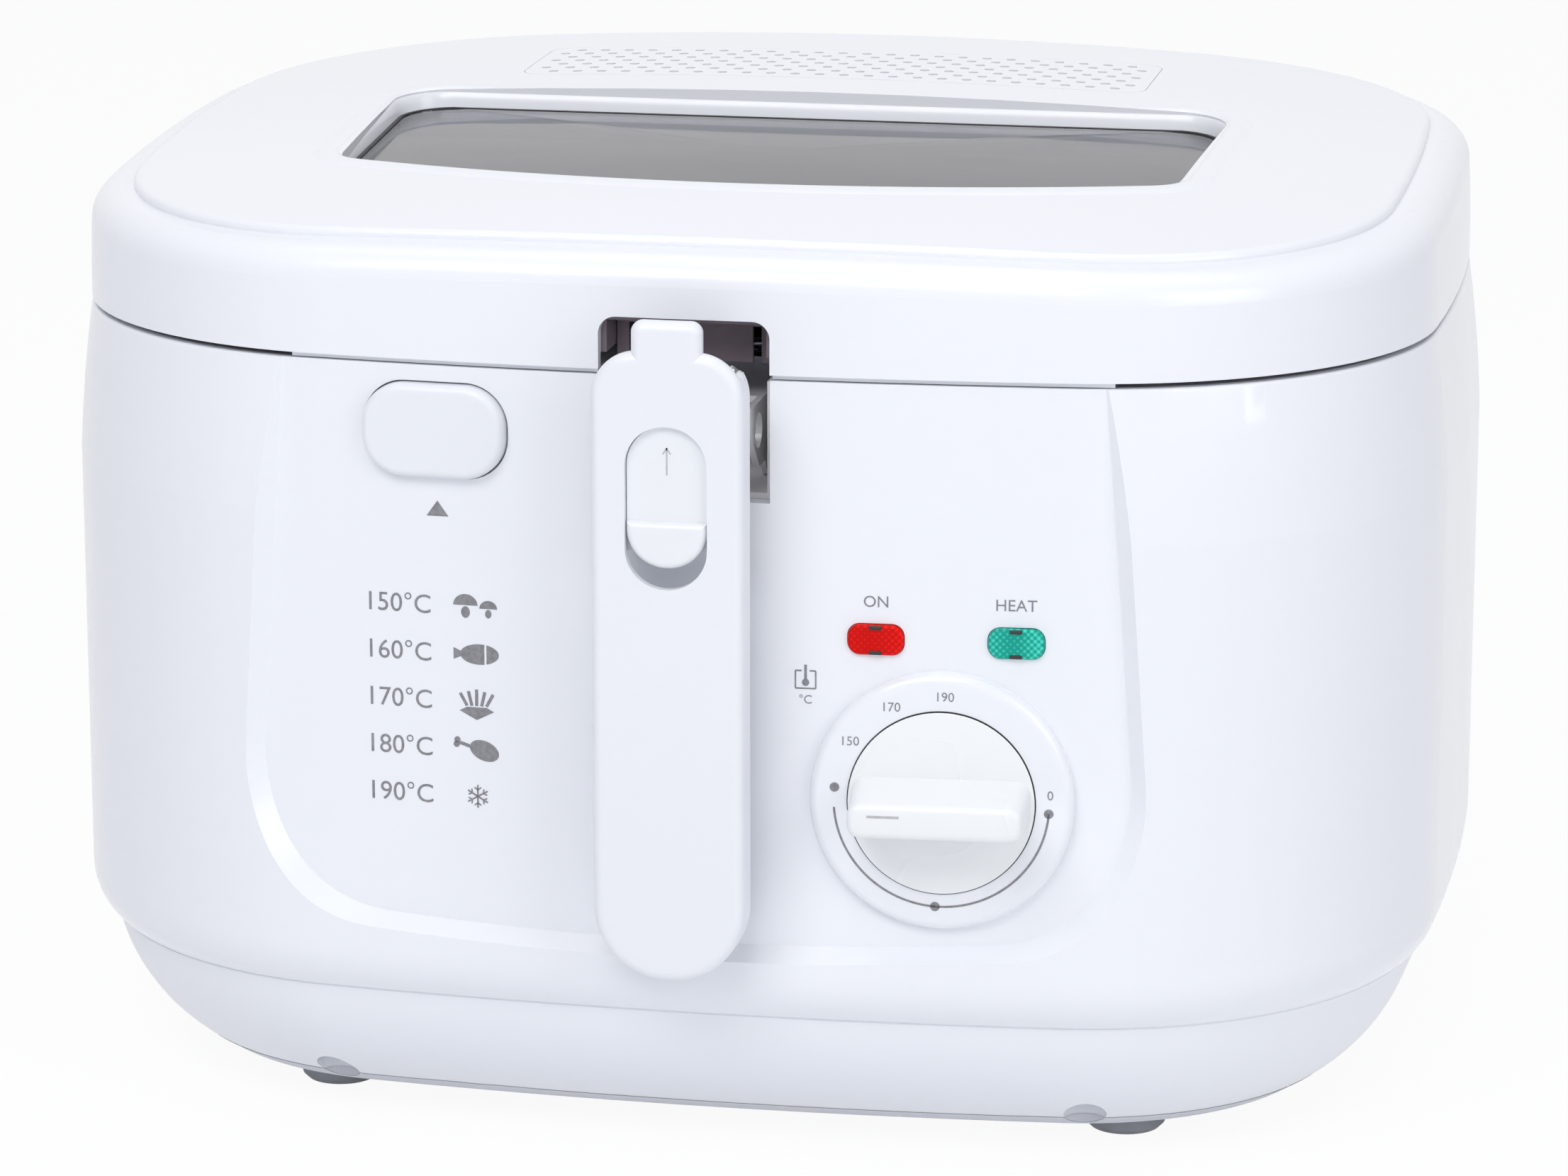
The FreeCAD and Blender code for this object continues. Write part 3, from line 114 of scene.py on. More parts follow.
def seen_directly(tree):
    """1 for camera, glossy and transmission rays, and 0 for the others."""
    path = tree.nodes.new("ShaderNodeLightPath")
    seen = calculated(tree, "MAXIMUM", path.outputs["Is Camera Ray"], path.outputs["Is Glossy Ray"])
    return calculated(tree, "MAXIMUM", seen, path.outputs["Is Transmission Ray"])


world = bpy.data.worlds.new("white_studio")
bpy.context.scene.world = world
bpy.context.scene.view_settings.view_transform = "Standard"
world.use_nodes = True
tree = world.node_tree
tree.nodes.clear()
direction = tree.nodes.new("ShaderNodeTexCoord")
axes = tree.nodes.new("ShaderNodeSeparateXYZ")
tree.links.new(direction.outputs["Generated"], axes.inputs[0])
sideways = calculated(tree, "ABSOLUTE", axes.outputs["X"])
ambient = tree.nodes.new("ShaderNodeBackground")
ambient.inputs["Color"].default_value = AMBIENT_COLOUR
strength = calculated(tree, "MULTIPLY_ADD", sideways, SIDE_FALLOFF, AMBIENT_STRENGTH)
tree.links.new(strength, ambient.inputs["Strength"])
white = tree.nodes.new("ShaderNodeBackground")
white.inputs["Color"].default_value = PURE_WHITE
white.inputs["Strength"].default_value = 1.0
choose = tree.nodes.new("ShaderNodeMixShader")
world_out = tree.nodes.new("ShaderNodeOutputWorld")
tree.links.new(seen_directly(tree), choose.inputs["Fac"])
tree.links.new(ambient.outputs[0], choose.inputs[1])
tree.links.new(white.outputs[0], choose.inputs[2])
tree.links.new(choose.outputs[0], world_out.inputs["Surface"])
print("world:", world.name)


# %% Softboxes
def softbox(name, place, aim, width, height, power):
    """A rectangular soft light that faces a point."""
    facing = (Vector(aim) - Vector(place)).to_track_quat("-Z", "Y")
    bpy.ops.object.light_add(type="AREA", location=place, rotation=facing.to_euler())
    lamp = bpy.context.object
    lamp.name = name
    lamp.data.shape = "RECTANGLE"
    lamp.data.size = width
    lamp.data.size_y = height
    lamp.data.energy = power
    return lamp


softbox("front_softbox", (-0.20, -1.12, 1.15), (0, -0.13, 0.16), 0.90, 0.62, 8.2)
softbox("top_softbox", (0.05, 0.05, 1.60), (0, 0, 0.2), 1.4, 1.2, 5.6)
softbox("right_softbox", (1.3, -1.05, 0.75), (0.1, 0, 0.1), 0.9, 0.9, 5.8)
print("softboxes: 3")

# %% [markdown]
# The floor is a wide white sheet. The camera sees it close to white, because part
# of what it sees is a plain glow, but the rest is ordinary diffuse paper, so the
# soft shadow under the feet stays.

# %% Floor
PAPER_COLOUR = (0.93, 0.94, 0.96, 1)
GLOW_SHARE = 0.93
bpy.ops.mesh.primitive_plane_add(size=24, location=(0, 0, -0.0002))
floor = bpy.context.object
floor.name = "studio_floor"
paper = bpy.data.materials.new("studio_paper")
paper.use_nodes = True
tree = paper.node_tree
tree.nodes.clear()
sheet = tree.nodes.new("ShaderNodeBsdfDiffuse")
sheet.inputs["Color"].default_value = PAPER_COLOUR
glow = tree.nodes.new("ShaderNodeEmission")
glow.inputs["Color"].default_value = PURE_WHITE
glow.inputs["Strength"].default_value = 1.0
choose = tree.nodes.new("ShaderNodeMixShader")
paper_out = tree.nodes.new("ShaderNodeOutputMaterial")
share = calculated(tree, "MULTIPLY", seen_directly(tree), GLOW_SHARE)
tree.links.new(share, choose.inputs["Fac"])
tree.links.new(sheet.outputs[0], choose.inputs[1])
tree.links.new(glow.outputs[0], choose.inputs[2])
tree.links.new(choose.outputs[0], paper_out.inputs["Surface"])
floor.data.materials.append(paper)
print("floor size:", tuple(round(v, 1) for v in floor.dimensions))

# %% [markdown]
# Finishes are built from a few small node recipes. Each one reads Object
# coordinates in metres, so a grain keeps its real size on every piece and does not
# slide when a joint moves.


# %% Node recipes
def new_finish(name):
    """A material with its node tree and its Principled shader."""
    finish = bpy.data.materials.new(name)
    finish.use_nodes = True
    return finish, finish.node_tree, finish.node_tree.nodes["Principled BSDF"]


def object_coords(tree, stretch=(1, 1, 1), turn=(0, 0, 0)):
    """Object coordinates, stretched or turned for a directional grain."""
    coords = tree.nodes.new("ShaderNodeTexCoord")
    mapping = tree.nodes.new("ShaderNodeMapping")
    mapping.inputs["Scale"].default_value = stretch
    mapping.inputs["Rotation"].default_value = turn
    tree.links.new(coords.outputs["Object"], mapping.inputs["Vector"])
    return mapping.outputs["Vector"]


def grain(tree, scale, detail=2.0, stretch=(1, 1, 1)):
    """A noise value between 0 and 1; scale is in features per metre."""
    noise = tree.nodes.new("ShaderNodeTexNoise")
    noise.inputs["Scale"].default_value = scale
    noise.inputs["Detail"].default_value = detail
    tree.links.new(object_coords(tree, stretch), noise.inputs["Vector"])
    return noise.outputs["Fac"]


def two_tones(tree, value, dark, pale, low=0.35, high=0.65):
    """A colour that runs between two tones as a value rises."""
    ramp = tree.nodes.new("ShaderNodeValToRGB")
    ramp.color_ramp.elements[0].position = low
    ramp.color_ramp.elements[0].color = (*dark, 1)
    ramp.color_ramp.elements[1].position = high
    ramp.color_ramp.elements[1].color = (*pale, 1)
    tree.links.new(value, ramp.inputs["Fac"])
    return ramp.outputs["Color"]


def spread(tree, value, low, high):
    """A value rescaled to run from low to high."""
    scaled = tree.nodes.new("ShaderNodeMapRange")
    scaled.inputs["From Min"].default_value = 0.3
    scaled.inputs["From Max"].default_value = 0.7
    scaled.inputs["To Min"].default_value = low
    scaled.inputs["To Max"].default_value = high
    tree.links.new(value, scaled.inputs["Value"])
    return scaled.outputs["Result"]


def relief(tree, shader, height, depth, strength=1.0):
    """A bump of a real depth in metres."""
    bump = tree.nodes.new("ShaderNodeBump")
    bump.inputs["Strength"].default_value = strength
    bump.inputs["Distance"].default_value = depth
    tree.links.new(height, bump.inputs["Height"])
    tree.links.new(bump.outputs["Normal"], shader.inputs["Normal"])


print("node recipes ready")

# %% [markdown]
# The casing is injection-moulded white plastic. Up close such plastic is not flat:
# the tone drifts by a percent over a few centimetres, and the polish of the mould
# leaves a faint ripple that breaks up the reflections. The handle, knob and button
# come from other moulds, so they are a little more matt.


# %% White plastics
def moulded_plastic(name, shade, pale, gloss_low, gloss_high, ripple, ripple_depth):
    """White moulded plastic with a slow drift of tone and a faint mould ripple."""
    finish, tree, shader = new_finish(name)
    drift = grain(tree, 12, 0)
    tree.links.new(two_tones(tree, drift, shade, pale, 0.2, 0.8), shader.inputs["Base Color"])
    patch = grain(tree, 30, 1)
    tree.links.new(spread(tree, patch, gloss_low, gloss_high), shader.inputs["Roughness"])
    relief(tree, shader, grain(tree, ripple, 0), ripple_depth, 0.4)
    shader.inputs["IOR"].default_value = 1.52
    return finish


finishes = {
    "shell_white": moulded_plastic(
        "polished_shell_white", (0.845, 0.862, 0.910), (0.857, 0.873, 0.918), 0.19, 0.22, 60, 0.00002),
    "base_white": moulded_plastic(
        "satin_base_white", (0.850, 0.867, 0.915), (0.862, 0.878, 0.923), 0.34, 0.38, 60, 0.00002),
    "handle_white": moulded_plastic(
        "satin_handle_white", (0.812, 0.828, 0.876), (0.824, 0.839, 0.884), 0.32, 0.35, 60, 0.00001),
    "slider_white": moulded_plastic(
        "satin_slider_white", (0.820, 0.838, 0.868), (0.832, 0.850, 0.876), 0.30, 0.33, 60, 0.00001),
    "button_white": moulded_plastic(
        "satin_button_white", (0.805, 0.822, 0.868), (0.817, 0.834, 0.876), 0.32, 0.35, 60, 0.00001),
    "knob_white": moulded_plastic(
        "polished_knob_white", (0.855, 0.872, 0.885), (0.867, 0.884, 0.893), 0.26, 0.29, 60, 0.00001),
}
print("white plastics:", len(finishes))

# %% [markdown]
# Dark plastics, rubber and silicone are matt. Their grain is finer and deeper than
# on the casing, so the light spreads over them without a clear reflection.


# %% Matt plastics and rubbers
def matt_moulding(name, dark, pale, rough_low, rough_high, pitch, depth):
    """A matt moulding with a fine, even grain."""
    finish, tree, shader = new_finish(name)
    tree.links.new(two_tones(tree, grain(tree, 60, 4), dark, pale), shader.inputs["Base Color"])
    tree.links.new(spread(tree, grain(tree, 300, 3), rough_low, rough_high), shader.inputs["Roughness"])
    relief(tree, shader, grain(tree, pitch, 2), depth, 0.6)
    return finish


finishes["rubber_grey"] = matt_moulding(
    "foot_rubber_grey", (0.34, 0.345, 0.38), (0.42, 0.425, 0.46), 0.62, 0.78, 1500, 0.00008)
finishes["cord_rubber"] = matt_moulding(
    "gland_rubber_black", (0.018, 0.018, 0.020), (0.032, 0.032, 0.034), 0.55, 0.70, 1500, 0.00006)
finishes["black_plastic"] = matt_moulding(
    "control_plastic_black", (0.014, 0.014, 0.015), (0.028, 0.028, 0.030), 0.42, 0.55, 1200, 0.00004)
finishes["guide_brown"] = matt_moulding(
    "guide_plastic_brown", (0.155, 0.122, 0.142), (0.195, 0.156, 0.180), 0.38, 0.52, 900, 0.00004)
finishes["latch_plastic"] = matt_moulding(
    "latch_plastic_grey", (0.40, 0.41, 0.43), (0.47, 0.48, 0.50), 0.40, 0.52, 900, 0.00004)
finishes["silicone"] = matt_moulding(
    "seal_silicone_grey", (0.44, 0.44, 0.43), (0.52, 0.52, 0.50), 0.48, 0.62, 800, 0.00004)
finishes["filter_mesh"] = matt_moulding(
    "filter_fleece", (0.42, 0.41, 0.38), (0.66, 0.65, 0.61), 0.85, 0.95, 900, 0.0006)
print("matt finishes made")

# %% [markdown]
# The tank is sheet aluminium under a dark non-stick coating with pale specks. The
# specks come from Voronoi cells that are mostly left dark: only the small core of
# each cell is light.

# %% Non-stick coating
finish, tree, shader = new_finish("tank_nonstick")
cells = tree.nodes.new("ShaderNodeTexVoronoi")
cells.inputs["Scale"].default_value = 420
tree.links.new(object_coords(tree), cells.inputs["Vector"])
tree.links.new(
    two_tones(tree, cells.outputs["Distance"], (0.16, 0.16, 0.165), (0.040, 0.040, 0.043), 0.10, 0.22),
    shader.inputs["Base Color"])
tree.links.new(spread(tree, grain(tree, 500, 3), 0.30, 0.44), shader.inputs["Roughness"])
relief(tree, shader, grain(tree, 1300, 2), 0.00006, 0.6)
finishes["tank_coating"] = finish
print("coating:", finish.name)

# %% [markdown]
# Metals differ mainly in their surface. Sheet steel and the aluminium liner carry
# rolling lines, so their noise is stretched along one axis. Wire and screws are
# bright and short in grain, and the heating element has gone a warm grey.


# %% Metals
def worked_metal(name, dark, pale, rough_low, rough_high, pitch, stretch, depth, metallic=1.0):
    """A metal with its working lines along one axis."""
    finish, tree, shader = new_finish(name)
    tree.links.new(two_tones(tree, grain(tree, 45, 3), dark, pale), shader.inputs["Base Color"])
    lines = grain(tree, pitch, 3, stretch)
    tree.links.new(spread(tree, lines, rough_low, rough_high), shader.inputs["Roughness"])
    relief(tree, shader, lines, depth, 0.5)
    shader.inputs["Metallic"].default_value = metallic
    return finish


finishes["element_steel"] = worked_metal(
    "element_sheath", (0.20, 0.19, 0.18), (0.33, 0.30, 0.28), 0.32, 0.50, 500, (1, 1, 1), 0.00003)
finishes["sheet_steel"] = worked_metal(
    "zinc_sheet", (0.52, 0.53, 0.55), (0.66, 0.67, 0.69), 0.28, 0.42, 700, (0.1, 1, 1), 0.00003)
finishes["bracket_steel"] = worked_metal(
    "bright_bracket_steel", (0.80, 0.80, 0.81), (0.90, 0.90, 0.91), 0.34, 0.46, 900, (1, 0.08, 1), 0.00002,
    metallic=0.20)
finishes["screw_steel"] = worked_metal(
    "screw_zinc", (0.55, 0.56, 0.58), (0.68, 0.69, 0.71), 0.22, 0.34, 1500, (1, 1, 0.2), 0.00002)
finishes["pin_steel"] = worked_metal(
    "ground_pin_steel", (0.60, 0.60, 0.61), (0.70, 0.70, 0.71), 0.14, 0.24, 1800, (0.1, 1, 1), 0.00001)
finishes["capillary_copper"] = worked_metal(
    "capillary_copper_tube", (0.62, 0.33, 0.20), (0.78, 0.45, 0.29), 0.22, 0.36, 900, (0.2, 1, 1), 0.00002)
finishes["liner_aluminium"] = worked_metal(
    "liner_aluminium_sheet", (0.76, 0.77, 0.78), (0.82, 0.83, 0.84), 0.30, 0.38, 900, (0.05, 1, 1), 0.000008)
finishes["basket_wire"] = worked_metal(
    "tinned_wire", (0.58, 0.58, 0.59), (0.72, 0.72, 0.73), 0.18, 0.30, 900, (1, 1, 1), 0.00002)
print("finishes so far:", len(finishes))

# %% [markdown]
# The signal lamps are coloured lenses with small pyramids moulded into the inside.
# A regular Voronoi grid, turned by 45 degrees, gives the diamond pattern: it drives
# the tone and a bump at the same pitch.


# %% Lens plastic
def lens_plastic(name, deep, bright, pitch):
    """Coloured clear plastic with moulded pyramids."""
    finish, tree, shader = new_finish(name)
    facets = tree.nodes.new("ShaderNodeTexVoronoi")
    facets.distance = "MANHATTAN"
    facets.inputs["Scale"].default_value = 1 / pitch
    facets.inputs["Randomness"].default_value = 0.0
    turned = object_coords(tree, turn=(0, math.radians(45), 0))
    tree.links.new(turned, facets.inputs["Vector"])
    tree.links.new(
        two_tones(tree, facets.outputs["Distance"], bright, deep, 0.25, 0.85), shader.inputs["Base Color"])
    relief(tree, shader, facets.outputs["Distance"], 0.0002, 0.6)
    shader.inputs["Roughness"].default_value = 0.30
    shader.inputs["Specular IOR Level"].default_value = 0.12
    return finish


LENS_PITCH = 0.0011
for slot_name, deep, bright in (("red_lens", (0.60, 0.003, 0.002), (0.95, 0.012, 0.007)),
                                ("green_lens", (0.010, 0.34, 0.26), (0.08, 0.72, 0.57))):
    finishes[slot_name] = lens_plastic(f"{slot_name}_plastic", deep, bright, LENS_PITCH)
print("lens plastics made")

# %% [markdown]
# The window is a pane of clear glass with a grey cast. At this low angle it mostly
# mirrors the white room. A faint, slow waviness keeps that mirror from being a flat
# grey, and a thin film of haze shows as a change of roughness.

# %% Window glass
finish, tree, shader = new_finish("window_glass_grey")
tree.links.new(
    two_tones(tree, grain(tree, 10, 0), (0.19, 0.19, 0.23), (0.27, 0.27, 0.32)),
    shader.inputs["Base Color"])
tree.links.new(spread(tree, grain(tree, 22, 3, (1, 4, 1)), 0.02, 0.10), shader.inputs["Roughness"])
relief(tree, shader, grain(tree, 30, 1, (0.4, 1, 1)), 0.0002, 0.25)
shader.inputs["Transmission Weight"].default_value = 1.0
shader.inputs["IOR"].default_value = 1.5
finishes["window"] = finish
print("glass:", finish.name)

# %% [markdown]
# Every CAD piece carries the name of its material slot, so one loop hands each its
# finish. The meshes themselves are not touched. The bracket's guide then gets a paler
# tone of its own.

# %% Dress the CAD pieces
dressed = 0
for node in nodes.values():
    for index, worn in enumerate(node.data.materials):
        slot_name = worn.name.split(".")[0]
        node.data.materials[index] = finishes[slot_name]
        dressed += 1
nodes["bracket_guide"].data.materials[0] = matt_moulding(
    "guide_plastic_pale", (0.74, 0.725, 0.735), (0.79, 0.775, 0.785), 0.38, 0.52, 900, 0.00004)
print("slots dressed:", dressed)

# %% [markdown]
# The printing on the front is grey ink, a hair thicker than nothing. Each mark is
# drawn flat, with u to the right and v up, thickened, and then laid on the panel.
# The panel is a slice of a wide upright cylinder, so a mark only has to take its
# depth from that cylinder at each point.

# %% Print helpers
PANEL_RADIUS = 0.846
PANEL_CENTRE_Y = 0.718
INK_DEPTH = 0.00006


def printing_ink(name, dark, pale):
    """Satin ink with a fine grain."""
    finish, tree, shader = new_finish(name)
    tree.links.new(two_tones(tree, grain(tree, 900, 3), dark, pale), shader.inputs["Base Color"])
    shader.inputs["Roughness"].default_value = 0.42
    return finish


ink = printing_ink("printing_ink_grey", (0.20, 0.20, 0.215), (0.27, 0.27, 0.285))


def panel_depth(x):
    """The panel's Y at a distance x from the middle."""
    return PANEL_CENTRE_Y - math.sqrt(PANEL_RADIUS ** 2 - x ** 2)


def only(piece):
    """Makes a piece the one that operators act on."""
    bpy.ops.object.select_all(action="DESELECT")
    piece.select_set(True)
    bpy.context.view_layer.objects.active = piece


def settle():
    """Puts the place, turn and scale of what is selected into its mesh."""
    bpy.ops.object.transform_apply(location=True, rotation=True, scale=True)


def smooth(degrees):
    """Smooth shading on what is selected, except at edges sharper than an angle."""
    bpy.ops.object.shade_smooth_by_angle(angle=math.radians(degrees))


def joined(parts):
    """Several drawn shapes as one mesh, with their places applied."""
    bpy.ops.object.select_all(action="DESELECT")
    for part in parts:
        part.select_set(True)
    bpy.context.view_layer.objects.active = parts[0]
    settle()
    if len(parts) > 1:
        bpy.ops.object.join()
    return bpy.context.object


def apply_all(piece):
    """Applies a piece's modifiers in order."""
    only(piece)
    for modifier in list(piece.modifiers):
        bpy.ops.object.modifier_apply(modifier=modifier.name)


def dress(piece, name, finish):
    """Gives a piece and its mesh one name, and the piece one finish."""
    piece.name = name
    piece.data.name = name
    piece.data.materials.clear()
    piece.data.materials.append(finish)


def inked(parts, name, finish=ink):
    """One flat mark with the thickness of a print."""
    mark = joined(parts)
    solid = mark.modifiers.new("ink", "SOLIDIFY")
    solid.thickness = INK_DEPTH
    solid.offset = 1
    apply_all(mark)
    dress(mark, name, finish)
    return mark


def lay_on_panel(mark):
    """Bends a flat mark onto the front panel and fixes it to the casing."""
    for vertex in mark.data.vertices:
        u, v, lift = vertex.co
        vertex.co = (u, panel_depth(u) - lift, v)
    mark.data.update()
    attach(mark, "housing")
    return mark


print("panel depth at the middle:", round(panel_depth(0), 4))


# %% Drawing tools
def drawn_text(words, u, v, height, align="CENTER"):
    """Upright lettering of a given height about (u, v)."""
    bpy.ops.object.text_add()
    letters = bpy.context.object
    letters.data.body = words
    letters.data.resolution_u = 4
    bpy.ops.object.convert(target="MESH")
    letters = bpy.context.object
    xs = [vertex.co.x for vertex in letters.data.vertices]
    ys = [vertex.co.y for vertex in letters.data.vertices]
    scale = height / (max(ys) - min(ys))
    anchor = min(xs) if align == "LEFT" else (min(xs) + max(xs)) / 2
    shift = Matrix.Translation((-anchor, -(min(ys) + max(ys)) / 2, 0))
    letters.data.transform(Matrix.Translation((u, v, 0)) @ Matrix.Scale(scale, 4) @ shift)
    return letters


def drawn_disc(u, v, half_u, half_v, turn=0.0, sides=28):
    """A filled ellipse."""
    bpy.ops.mesh.primitive_circle_add(vertices=sides, radius=1, fill_type="NGON", location=(u, v, 0))
    disc = bpy.context.object
    disc.scale = (half_u, half_v, 1)
    disc.rotation_euler.z = turn
    return disc


def drawn_bar(u0, v0, u1, v1, width):
    """A straight stroke between two points."""
    along = Vector((u1 - u0, v1 - v0, 0))
    bpy.ops.mesh.primitive_plane_add(size=1, location=((u0 + u1) / 2, (v0 + v1) / 2, 0))
    bar = bpy.context.object
    bar.scale = (along.length, width, 1)
    bar.rotation_euler.z = math.atan2(along.y, along.x)
    return bar


def drawn_ring(u, v, radius, width, sides=40):
    """A flat ring: a disc, inset, with its middle taken out."""
    disc = drawn_disc(u, v, radius, radius, sides=sides)
    settle()
    bpy.ops.object.mode_set(mode="EDIT")
    bpy.ops.mesh.select_all(action="SELECT")
    bpy.ops.mesh.inset(thickness=width)
    bpy.ops.mesh.delete(type="FACE")
    bpy.ops.object.mode_set(mode="OBJECT")
    return disc


def cut_below(shape, point, normal):
    """Cuts a filled shape along a line and drops the side the normal points away from."""
    only(shape)
    settle()
    bpy.ops.object.mode_set(mode="EDIT")
    bpy.ops.mesh.select_all(action="SELECT")
    bpy.ops.mesh.bisect(plane_co=point, plane_no=normal, clear_inner=True)
    bpy.ops.object.mode_set(mode="OBJECT")
    return shape


print("drawing tools ready")

# %% [markdown]
# Left of the handle stands a list of five oil temperatures, one line above the
# other, each with a small food sign beside it.

# %% Temperature list
LIST_LEFT = -0.0742
LIST_TOP = 0.1297
LIST_STEP = 0.01118
LIST_HEIGHT = 0.0046
for row, heat in enumerate((150, 160, 170, 180, 190)):
    level = LIST_TOP - row * LIST_STEP
    letters = drawn_text(f"{heat}°C", LIST_LEFT, level, LIST_HEIGHT, "LEFT")
    lay_on_panel(inked([letters], f"print_heat_{heat}"))
print("rows printed:", row + 1)

# %% [markdown]
# The food signs are drawn from ellipses, strokes and cuts: two mushrooms, a fish, a
# carton of chips, a drumstick and a snow crystal for frozen food.

# %% Food signs
SIGN_U = -0.0488
MM = 0.001


def sign_at(row):
    """The middle of a row's food sign."""
    return SIGN_U, LIST_TOP - row * LIST_STEP


def mushroom(u, v, wide, tall):
    """A cap with a flat underside on a short stem."""
    cap = cut_below(drawn_disc(u, v, wide, tall), (u, v, 0), (0, 1, 0))
    stem = drawn_disc(u, v - tall * 0.62, wide * 0.36, tall * 0.52)
    return [cap, stem]


u, v = sign_at(0)
mushrooms = mushroom(u - 2.4 * MM, v + 0.2 * MM, 2.9 * MM, 2.6 * MM)
mushrooms += mushroom(u + 3.0 * MM, v - 0.4 * MM, 2.1 * MM, 1.9 * MM)
lay_on_panel(inked(mushrooms, "print_mushrooms"))

u, v = sign_at(1)
gill = u + 2.2 * MM
rump = cut_below(drawn_disc(u + 0.8 * MM, v, 4.6 * MM, 2.4 * MM), (gill - 0.25 * MM, v, 0), (-1, 0, 0))
head = cut_below(drawn_disc(u + 0.8 * MM, v, 4.6 * MM, 2.4 * MM), (gill + 0.25 * MM, v, 0), (1, 0, 0))
tail = drawn_disc(u - 4.3 * MM, v, 1.6 * MM, 2.1 * MM, math.radians(-90), 3)
lay_on_panel(inked([rump, head, tail], "print_fish"))

u, v = sign_at(2)
chips = []
for step in range(5):
    lean = (step - 2) * 0.8 * MM
    foot = (u + (step - 2) * 1.15 * MM, v - 1.0 * MM)
    chips.append(drawn_bar(*foot, foot[0] + lean, v + (2.9 - abs(step - 2) * 0.5) * MM, 0.75 * MM))
carton = drawn_disc(u, v - 2.2 * MM, 4.1 * MM, 2.1 * MM, sides=4)
carton = cut_below(carton, (u, v - 1.3 * MM, 0), (0, -1, 0))
lay_on_panel(inked([*chips, carton], "print_chips"))

u, v = sign_at(3)
meat = drawn_disc(u + 1.7 * MM, v - 0.3 * MM, 3.6 * MM, 2.3 * MM, math.radians(-22))
bone = drawn_bar(u - 4.6 * MM, v + 1.5 * MM, u - 1.0 * MM, v + 0.4 * MM, 0.8 * MM)
knuckles = [drawn_disc(u - 4.7 * MM, v + 2.0 * MM, 0.75 * MM, 0.75 * MM, sides=14),
            drawn_disc(u - 4.9 * MM, v + 0.95 * MM, 0.75 * MM, 0.75 * MM, sides=14)]
lay_on_panel(inked([meat, bone, *knuckles], "print_drumstick"))

u, v = sign_at(4)
crystal = []
for arm in range(6):
    angle = math.radians(90 + 60 * arm)
    tip = Vector((math.cos(angle), math.sin(angle)))
    crystal.append(drawn_bar(u, v, u + tip.x * 2.7 * MM, v + tip.y * 2.7 * MM, 0.38 * MM))
    for side in (-1, 1):
        branch = Vector((math.cos(angle + side * 0.9), math.sin(angle + side * 0.9)))
        root_u, root_v = u + tip.x * 1.5 * MM, v + tip.y * 1.5 * MM
        crystal.append(drawn_bar(
            root_u, root_v, root_u + branch.x * MM, root_v + branch.y * MM, 0.32 * MM))
lay_on_panel(inked(crystal, "print_crystal"))
print("food signs: 5")

# %% [markdown]
# A small triangle under the release button points at it. The two lamps have short
# generic captions, and a thermometer sign with a plain unit stands beside the dial.

# %% Small marks on the panel
pointer = drawn_disc(-0.0575, 0.1515, 0.0030, 0.0024, sides=3)
lay_on_panel(inked([pointer], "print_release_arrow"))

CAPTION_V = 0.1354
for caption, u in (("ON", 0.0435), ("HEAT", 0.0750)):
    letters = drawn_text(caption, u, CAPTION_V, 0.0026)
    lay_on_panel(inked([letters], f"print_caption_{caption.lower()}"))

u, v = 0.0276, 0.1172
box_lines = []
for u0, v0, u1, v1 in ((-2.3, -2.5, 2.3, -2.5), (-2.3, -2.5, -2.3, 1.6), (2.3, -2.5, 2.3, 1.6),
                       (-2.3, 1.6, -0.9, 1.6), (0.9, 1.6, 2.3, 1.6)):
    box_lines.append(drawn_bar(u + u0 * MM, v + v0 * MM, u + u1 * MM, v + v1 * MM, 0.35 * MM))
bulb = [drawn_disc(u, v - 1.1 * MM, 0.85 * MM, 0.85 * MM, sides=18),
        drawn_bar(u, v - 1.0 * MM, u, v + 3.0 * MM, 0.6 * MM)]
lay_on_panel(inked([*box_lines, *bulb], "print_thermometer"))
lay_on_panel(inked([drawn_text("°C", u, v - 5.0 * MM, 0.0021)], "print_unit"))
print("small marks laid")

# %% [markdown]
# The dial's scale is printed on the raised boss round the knob. The boss is flat, so
# these marks are drawn about its middle and moved there by one matrix: its columns
# are the directions along the panel, up, and out of the panel.

# %% Dial frame
KNOB_X = 0.0587
KNOB_Z = 0.090
BOSS_HEIGHT = 0.0032
out = Vector((KNOB_X / PANEL_RADIUS, -math.sqrt(1 - (KNOB_X / PANEL_RADIUS) ** 2), 0))
across = Vector((-out.y, out.x, 0))
dial_frame = Matrix((across, Vector((0, 0, 1)), out)).transposed().to_4x4()
dial_frame.translation = Vector((KNOB_X, panel_depth(KNOB_X), KNOB_Z))


def lay_on_dial(mark, lift, body):
    """Moves a flat mark to the dial, at a height above the panel."""
    mark.data.transform(dial_frame @ Matrix.Translation((0, 0, lift)))
    mark.data.update()
    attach(mark, body)
    return mark


print("dial faces", tuple(round(value, 3) for value in out))

